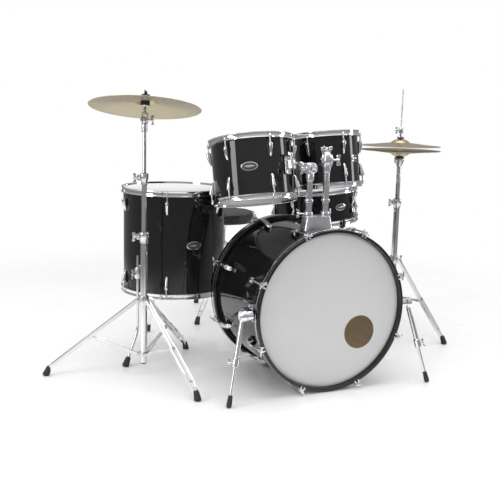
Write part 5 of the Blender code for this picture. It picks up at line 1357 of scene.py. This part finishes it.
riser = [(CHROME, tube(HAT_BASE_TOP - 0.130, HAT_SEAT - 0.030, MID_TUBE, 0.0014)),
         (SATIN,
          lathe([(0.0044, HAT_SEAT - 0.042), (0.0108, HAT_SEAT - 0.042), (0.0125, HAT_SEAT - 0.036),
                 (0.0205, HAT_SEAT - 0.016), (0.0210, HAT_SEAT - 0.006), (0.0200, HAT_SEAT - 0.0045),
                 (0.0044, HAT_SEAT - 0.0045)], 40, True)),
         (FELT, washer(0.0046, 0.0195, HAT_SEAT - 0.0044, HAT_SEAT + 0.0008, 0.0018, 3, 40))]
riser += wing_nut(polar(0.0215, 180, HAT_SEAT - 0.012), polar(1, 180), UP, 0.7)
piece("hat_tube_chrome", "hat_tube", riser, ["hat_tube"], HAT)
piece("hat_bottom_cymbal_bronze", "hat_tube", cymbal_parts(HAT_RADIUS, HAT_BOW, 0.016),
      ["hat_bottom_cymbal"], HAT @ Matrix.Translation((0, 0, HAT_SEAT + 0.001 + GAP + HAT_BOW)) @ FLIP)
piece("hat_top_cymbal_bronze", "hat_pull_rod", cymbal_parts(HAT_RADIUS, HAT_BOW, 0.016),
      ["hat_top_cymbal"], HAT @ Matrix.Translation((0, 0, HAT_EDGE)))
bell = HAT_EDGE + HAT_BOW - CYMBAL_THICKNESS
clutch = [(CHROME, rod((0, 0, 0.152), (0, 0, 1.0995), 0.0029, 20)),
          (CHROME, washer(0.0031, 0.0120, bell - 0.0125, bell - 0.0095, 0.0008, 2, 32)),
          (FELT, lathe(rounded([(0.0031, bell - 0.0094), (0.0138, bell - 0.0094), (0.0136, bell - 0.0040),
                                (0.0060, bell - 0.0008),
                                (0.0031, bell - 0.0008)], 0.0015, 3), 36, True)),
          (CHROME, rod((0, 0, bell - 0.0140), (0, 0, bell + 0.0300), 0.0056, 24)),
          (FELT, lathe(rounded([(0.0058, bell + 0.0022), (0.0158, bell + 0.0026), (0.0158, bell + 0.0090),
                                (0.0058, bell + 0.0090)], 0.0018, 3), 36, True)),
          (CHROME, washer(0.0058, 0.0150, bell + 0.0092, bell + 0.0125, 0.0010, 2, 36)),
          (CHROME, lathe(rounded([(0.0031, bell + 0.0280), (0.0100, bell + 0.0280), (0.0105, bell + 0.0480),
                                  (0.0082, bell + 0.0520), (0.0031, bell + 0.0520)], 0.0012, 2), 28, True)),
          (CHROME, rod((-0.009, 0, bell + 0.040), (-0.019, 0, bell + 0.040), 0.0033, 14))]
clutch += wing_nut((-0.021, 0, bell + 0.040), (-1, 0, 0), UP, 0.85)
piece("hat_rod_and_clutch", "hat_pull_rod", clutch, ["hat_pull_rod"], HAT)

# ---------------------------------------------------------------- throne
# A round foam seat in black grained vinyl with piping round its top, on a steel plate and post that turn
# in a tripod base.

SEAT_RADIUS = 0.155
THRONE_GAP = 0.1352
THRONE_AXIS = Vector((0.055, SNARE_AT.y + SNARE_RADIUS + THRONE_GAP + SEAT_RADIUS, 0))
THRONE = KIT @ Matrix.Translation(THRONE_AXIS)
SEAT_TOP = 0.515
SEAT_UNDER = 0.455
THRONE_TUBE_TOP = 0.360

base = tripod_parts(220.6, 0.250, 0.255, 0.110, BASE_TUBE)
base += [(CHROME, tube(0.060, THRONE_TUBE_TOP - 0.002, BASE_TUBE)),
         (NYLON, rod((0, 0, 0.056), (0, 0, 0.066), BASE_TUBE - 0.001, 28))]
base += tube_clamp(THRONE_TUBE_TOP, BASE_TUBE, -20, MID_TUBE)
piece("throne_base_chrome", "kit", base, ["throne_base"], THRONE)

post = [(CHROME, rod((0, 0, THRONE_TUBE_TOP - 0.100), (0, 0, SEAT_UNDER - 0.008), MID_TUBE, 28)),
        (SATIN,
         lathe([(0.0096, SEAT_UNDER - 0.034), (0.0150, SEAT_UNDER - 0.034), (0.0170, SEAT_UNDER - 0.020),
                (0.0240, SEAT_UNDER - 0.012), (0.0580, SEAT_UNDER - 0.0060), (0.0600, SEAT_UNDER - 0.0040),
                (0.0600, SEAT_UNDER - 0.0008), (0.0096, SEAT_UNDER - 0.0008)], 48, True))]
post += [(CHROME,
          rod(polar(0.046, 45 + 90 * index, SEAT_UNDER - 0.0110),
              polar(0.046, 45 + 90 * index, SEAT_UNDER - 0.0060), 0.0050, 6)) for index in range(4)]
piece("throne_post_and_plate", "throne_seat", post, (), THRONE)

VINYL, shader, nodes, links = shader_of("grained black vinyl")
place = nodes.new("ShaderNodeTexCoord")
cells = nodes.new("ShaderNodeTexVoronoi")
cells.inputs["Scale"].default_value = 520
links.new(place.outputs["Object"], cells.inputs["Vector"])
links.new(two_tone(nodes, links, cells.outputs["Distance"], (0.022, 0.022, 0.023), (0.011, 0.011, 0.012)),
          shader.inputs["Base Color"])
links.new(uneven(nodes, 30, 0.38, 0.52), shader.inputs["Roughness"])
relief(nodes, links, shader, cells.outputs["Distance"], 0.35, 0.0006)


def seat_cushion():
    """The foam pad: a round form that swells between its plate and its piping."""
    outline = [(0, SEAT_UNDER + 0.0005), (0.070, SEAT_UNDER + 0.0005),
               (SEAT_RADIUS - 0.020, SEAT_UNDER + 0.0010), (SEAT_RADIUS - 0.010, SEAT_UNDER + 0.006),
               (SEAT_RADIUS - 0.0065, SEAT_UNDER + 0.020), (SEAT_RADIUS - 0.0065, SEAT_TOP - 0.022),
               (SEAT_RADIUS - 0.012, SEAT_TOP - 0.012), (SEAT_RADIUS - 0.030, SEAT_TOP - 0.0085),
               (SEAT_RADIUS * 0.5, SEAT_TOP - 0.0070), (0, SEAT_TOP - 0.0065)]
    vertices, faces = lathe(outline, 72)
    mesh = bpy.data.meshes.new("throne_cushion")
    mesh.from_pydata(vertices, [], faces)
    mesh.materials.append(VINYL)
    cushion = bpy.data.objects.new("throne_cushion", mesh)
    bpy.context.scene.collection.objects.link(cushion)
    remesh = cushion.modifiers.new("even mesh", 'REMESH')
    remesh.mode = 'VOXEL'
    remesh.voxel_size = 0.0055
    graph = bpy.context.evaluated_depsgraph_get()
    even = bpy.data.meshes.new_from_object(cushion.evaluated_get(graph))
    cushion.modifiers.clear()
    cushion.data = even
    start = [vertex.co.copy() for vertex in even.vertices]
    held = cushion.vertex_groups.new(name="held by the plate")
    held.add([index for index, co in enumerate(start) if co.z < SEAT_UNDER + 0.002], 1.0, 'REPLACE')
    cloth = cushion.modifiers.new("swelling", 'CLOTH')
    cloth.settings.use_pressure = True
    cloth.settings.uniform_pressure_force = 4
    cloth.settings.effector_weights.gravity = 0
    cloth.settings.vertex_group_mass = "held by the plate"
    cloth.settings.quality = 5
    cloth.point_cache.frame_start = 1
    cloth.point_cache.frame_end = 20
    for step in range(1, 21):
        bpy.context.scene.frame_set(step)
    graph = bpy.context.evaluated_depsgraph_get()
    swollen = bpy.data.meshes.new_from_object(cushion.evaluated_get(graph))
    for vertex, before in zip(swollen.vertices, start):
        step_out = vertex.co - before
        if step_out.length > 0.0055:
            vertex.co = before + step_out.normalized() * 0.0055
        vertex.co.z = min(max(vertex.co.z, SEAT_UNDER + 0.0003), SEAT_TOP)
    cushion.modifiers.clear()
    cushion.data = swollen
    bpy.context.scene.frame_set(1)
    finer = cushion.modifiers.new("smooth skin", 'SUBSURF')
    finer.levels = 1
    finer.render_levels = 1
    cushion.data.shade_smooth()
    return cushion


cushion = seat_cushion()
cushion.matrix_world = THRONE
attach(cushion, "throne_seat")
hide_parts("throne_seat")
piping = [(VINYL, lathe([(SEAT_RADIUS - 0.0085 + 0.0022 * math.cos(2 * math.pi * step / 10),
                          SEAT_TOP - 0.0135 + 0.0022 * math.sin(2 * math.pi * step / 10))
                         for step in range(10)], 128, True)),
          (VINYL, lathe([(SEAT_RADIUS - 0.0055 + 0.0020 * math.cos(2 * math.pi * step / 10),
                          SEAT_UNDER + 0.0075 + 0.0020 * math.sin(2 * math.pi * step / 10))
                         for step in range(10)], 128, True))]
piece("throne_piping", "throne_seat", piping, (), THRONE)

# ---------------------------------------------------------------- snare stand, strainer and wires
# The stand's three bent arms grip the lower rim with rubber-covered hooks. The strainer on the shell
# tightens twenty coiled steel wires across the lower head.

WIRE = finish("coiled steel wire", 900, (0.30, 0.30, 0.30), (0.66, 0.66, 0.67), (400, 0.25, 0.45),
              (1500, 0.5, 0.0004), 1.0)

SNARE_PLACE, SNARE_RADIUS, SNARE_DEPTH, SNARE_TURN = DRUMS["snare"][:4]
in_kit = KIT.inverted() @ SNARE_PLACE
lowest = in_kit @ Vector((0, 0, -SNARE_DEPTH / 2 - 0.0085))
SNARE_STAND = KIT @ Matrix.Translation((lowest.x, lowest.y, 0))
base = tripod_parts(60.0, 0.205, 0.215, 0.090, BASE_TUBE)
base += [(CHROME, tube(0.050, 0.298, BASE_TUBE)),
         (NYLON, rod((0, 0, 0.046), (0, 0, 0.056), BASE_TUBE - 0.001, 28))]
base += tube_clamp(0.300, BASE_TUBE, 40, MID_TUBE)
piece("snare_stand_base_chrome", "kit", base, ["snare_stand_base"], SNARE_STAND)

up_of_drum = in_kit.to_3x3() @ UP
hub = lowest - up_of_drum * 0.110
basket = [(CHROME, rod((lowest.x, lowest.y, 0.180), (lowest.x, lowest.y, hub.z), MID_TUBE, 28)),
          (SATIN,
           moved(lathe([(0, -0.022), (0.012, -0.022), (0.0165, -0.017), (0.0170, 0.010), (0.0140, 0.016),
                        (0, 0.016)], 36),
                 Matrix.Translation(hub) @ UP.rotation_difference(up_of_drum).to_matrix().to_4x4()))]
hook_out = SNARE_RADIUS + 0.0091
low = -SNARE_DEPTH / 2 - 0.0085
start = in_kit.inverted() @ hub
for index in range(3):
    angle = SNARE_TURN + 120 * index
    arm_path = bent([in_kit @ (start + polar(0.010, angle)),
                     in_kit @ polar(hook_out - 0.020, angle, low - 0.018),
                     in_kit @ polar(hook_out + 0.006, angle, low - 0.012),
                     in_kit @ polar(hook_out + 0.008, angle, low + 0.022)], 0.010)
    basket.append((CHROME, sweep(arm_path, 0.0044, 18)))
    turn = in_kit @ turned_by(angle)
    basket.append((RUBBER,
                   block((0.026, 0.0155, 0.0095), (hook_out - 0.004, 0, low - 0.0056), turn, 0.003)))
    basket.append((RUBBER,
                   moved(sweep([(hook_out + 0.0072, 0, low - 0.004), (hook_out + 0.0080, 0, low + 0.0215)],
                               0.0058, 18), turn)))
piece("snare_stand_basket", "snare_basket", basket, ["snare_basket"])

strainer_turn = turned_by(SNARE_TURN + 180)
strainer = [(CHROME, moved(loft([(-0.034, 0.0040, 0.0110, SNARE_RADIUS + 0.0042),
                                 (-0.030, 0.0058, 0.0140, SNARE_RADIUS + 0.0058),
                                 (0.008, 0.0070, 0.0150, SNARE_RADIUS + 0.0070),
                                 (0.012, 0.0045, 0.0120, SNARE_RADIUS + 0.0050)], 28, 0.5), strainer_turn)),
            (CHROME, rod(strainer_turn @ Vector((SNARE_RADIUS + 0.010, 0, -0.062)),
                         strainer_turn @ Vector((SNARE_RADIUS + 0.010, 0, -0.032)), 0.0030, 16))]
for hand in (-1, 1):
    strainer.append((CHROME,
                     block((0.012, 0.0030, 0.016), (SNARE_RADIUS + 0.018, hand * 0.0165, -0.020),
                           strainer_turn, 0.001)))
piece("snare_strainer", "snare_basket", strainer, (), SNARE_PLACE)
pivot = strainer_turn @ Vector((SNARE_RADIUS + 0.022, 0, -0.020))
sideways = polar(1, SNARE_TURN + 270)
outwards = strainer_turn.to_3x3() @ Vector((0.006, 0, 0))
lever = [(CHROME, rod(pivot - sideways * 0.0135, pivot + sideways * 0.0135, 0.0073, 28, 0.001)),
         (CHROME,
          flat_bar(bent([pivot, pivot + outwards + UP * 0.020, pivot + outwards + UP * 0.052], 0.008),
                   0.0045, 0.0150, sideways)),
         (RUBBER, block((0.0066, 0.0165, 0.020), (SNARE_RADIUS + 0.028, 0, 0.0215), strainer_turn, 0.002))]
piece("snare_throw_off_lever", "snare_throw_off", lever, ["snare_throw_off"], SNARE_PLACE)

face_z = -SNARE_DEPTH / 2 - 0.0013 - GAP
reach = SNARE_RADIUS - 0.030
wires = []
along = polar(1, SNARE_TURN + 180)
for index in range(20):
    shift = sideways * 0.0022 * (index - 9.5) + UP * (face_z - 0.0012)
    coil = []
    turns = 56
    for step in range(turns + 1):
        swell = 0.00085 if step % 2 else 0.00055
        coil.append((swell, 2 * reach * step / turns))
    profile = [(0, 0)] + coil + [(0, 2 * reach)]
    wires.append((WIRE, moved(lathe(profile, 6), between(shift - along * reach, shift + along * reach))))
for hand in (-1, 1):
    wires.append((CHROME,
                  block((0.014, 0.048, 0.0018), (hand * reach, 0, face_z - 0.0013), strainer_turn, 0.0006)))
piece("snare_wires_coiled", "snare_basket", wires, ["snare_wires"], SNARE_PLACE)

# ---------------------------------------------------------------- bass drum pedal
# A cast footboard hinged to its heel pulls the beater's cam forward. Two posts carry the axle, and a
# clamp at the front grips the rear hoop.

AXLE_Y = BASS_OVERALL + 0.090
HEEL_Y = AXLE_Y + 0.300
AXLE = Vector((0, AXLE_Y, 0.185))
HALF = 0.042
parts = [(CHROME, block((0.072, 0.070, 0.0030), (0, AXLE_Y - 0.010, 0.0045), ease=0.001)),
         (SATIN,
          moved(loft([(0.0015, 0.040, 0.028, 0), (0.0045, 0.042, 0.030, 0), (0.0120, 0.041, 0.029, 0),
                      (0.0132, 0.038, 0.027, 0)], 32, 0.35), Matrix.Translation((0, HEEL_Y, 0)))),
         (RUBBER, block((0.078, 0.054, 0.0010), (0, HEEL_Y, 0.0009), ease=0.0003)),
         (CHROME, block((0.044, 0.036, 0.0085), (0, BASS_OVERALL + 0.022, 0.0068), ease=0.002)),
         (CHROME, block((0.050, 0.120, 0.0024), (0, BASS_OVERALL + 0.024, 0.0016), ease=0.0005))]
for x in (-HALF * 0.6, HALF * 0.6):
    parts.append((CHROME, rod((x, AXLE_Y - 0.02, 0.0065), (x, HEEL_Y - 0.01, 0.0065), 0.0038, 16)))
for x in (-HALF + 0.006, HALF - 0.006):
    post_path = Matrix.Translation((x, AXLE_Y, 0)) @ turned_by(90)
    parts.append((SATIN,
                  moved(loft([(0.006, 0.0165, 0.0055, 0), (0.040, 0.0140, 0.0048, 0),
                              (0.120, 0.0105, 0.0046, 0), (0.178, 0.0095, 0.0046, 0)], 24, 0.5),
                        post_path)))
    bearing = Matrix.Translation((x, AXLE_Y, 0.185)) @ Matrix.Rotation(math.pi / 2, 4, 'Y')
    parts.append((SATIN, moved(washer(0.0063, 0.0138, -0.0068, 0.0068, 0.0015, 3, 40), bearing)))
parts.append((CHROME,
              rod((0.0, BASS_OVERALL + 0.030, 0.010), (0.0, BASS_OVERALL + 0.030, 0.036), 0.0034, 14)))
parts += wing_nut((0, BASS_OVERALL + 0.030, 0.040), UP, Vector((1, 0, 0)), 1.0)
piece("pedal_frame_casting", "kit", parts, ["pedal_frame"])

hinge_at = Vector((0, HEEL_Y - 0.034, 0.022))
toe_at = Vector((0, AXLE_Y + 0.030, 0.098))
board = board_outline(hinge_at, toe_at, 0.067, 0.050)
board.append((CHROME,
              rod(hinge_at + Vector((-0.028, 0, -0.004)), hinge_at + Vector((0.028, 0, -0.004)), 0.0036,
                  16)))
piece("pedal_footboard_casting", "pedal_footboard", board, ["pedal_footboard"])

WOOL = finish("pressed white felt", 500, (0.50, 0.49, 0.46), (0.68, 0.67, 0.64), (300, 0.85, 1.0),
              (1100, 0.6, 0.0008))

swing = Matrix.Translation(AXLE) @ Matrix.Rotation(math.radians(-38.0), 4, 'X')
sprocket = washer(0.0056, 0.0160, -0.0085, 0.0085, 0.0018, 3, 48)
felt = lathe(rounded([(0, -0.026), (0.0225, -0.026), (0.0240, -0.012), (0.0240, 0.018), (0.0215, 0.0300),
                      (0, 0.0300)], 0.005, 4), 48)
beater = [(CHROME, rod((-HALF + 0.002, 0, 0), (HALF - 0.002, 0, 0), 0.0054, 24)),
          (SATIN, moved(sprocket, Matrix.Rotation(math.pi / 2, 4, 'Y'))),
          (CHROME, rod((0, 0, -0.018), (0, 0, 0.170), 0.0038, 20)),
          (WOOL, moved(felt, Matrix.Translation((0, 0, 0.152)) @ Matrix.Rotation(math.pi / 2, 4, 'X')))]
piece("pedal_beater_and_axle", "pedal_beater", beater, ["pedal_beater"], KIT @ swing)
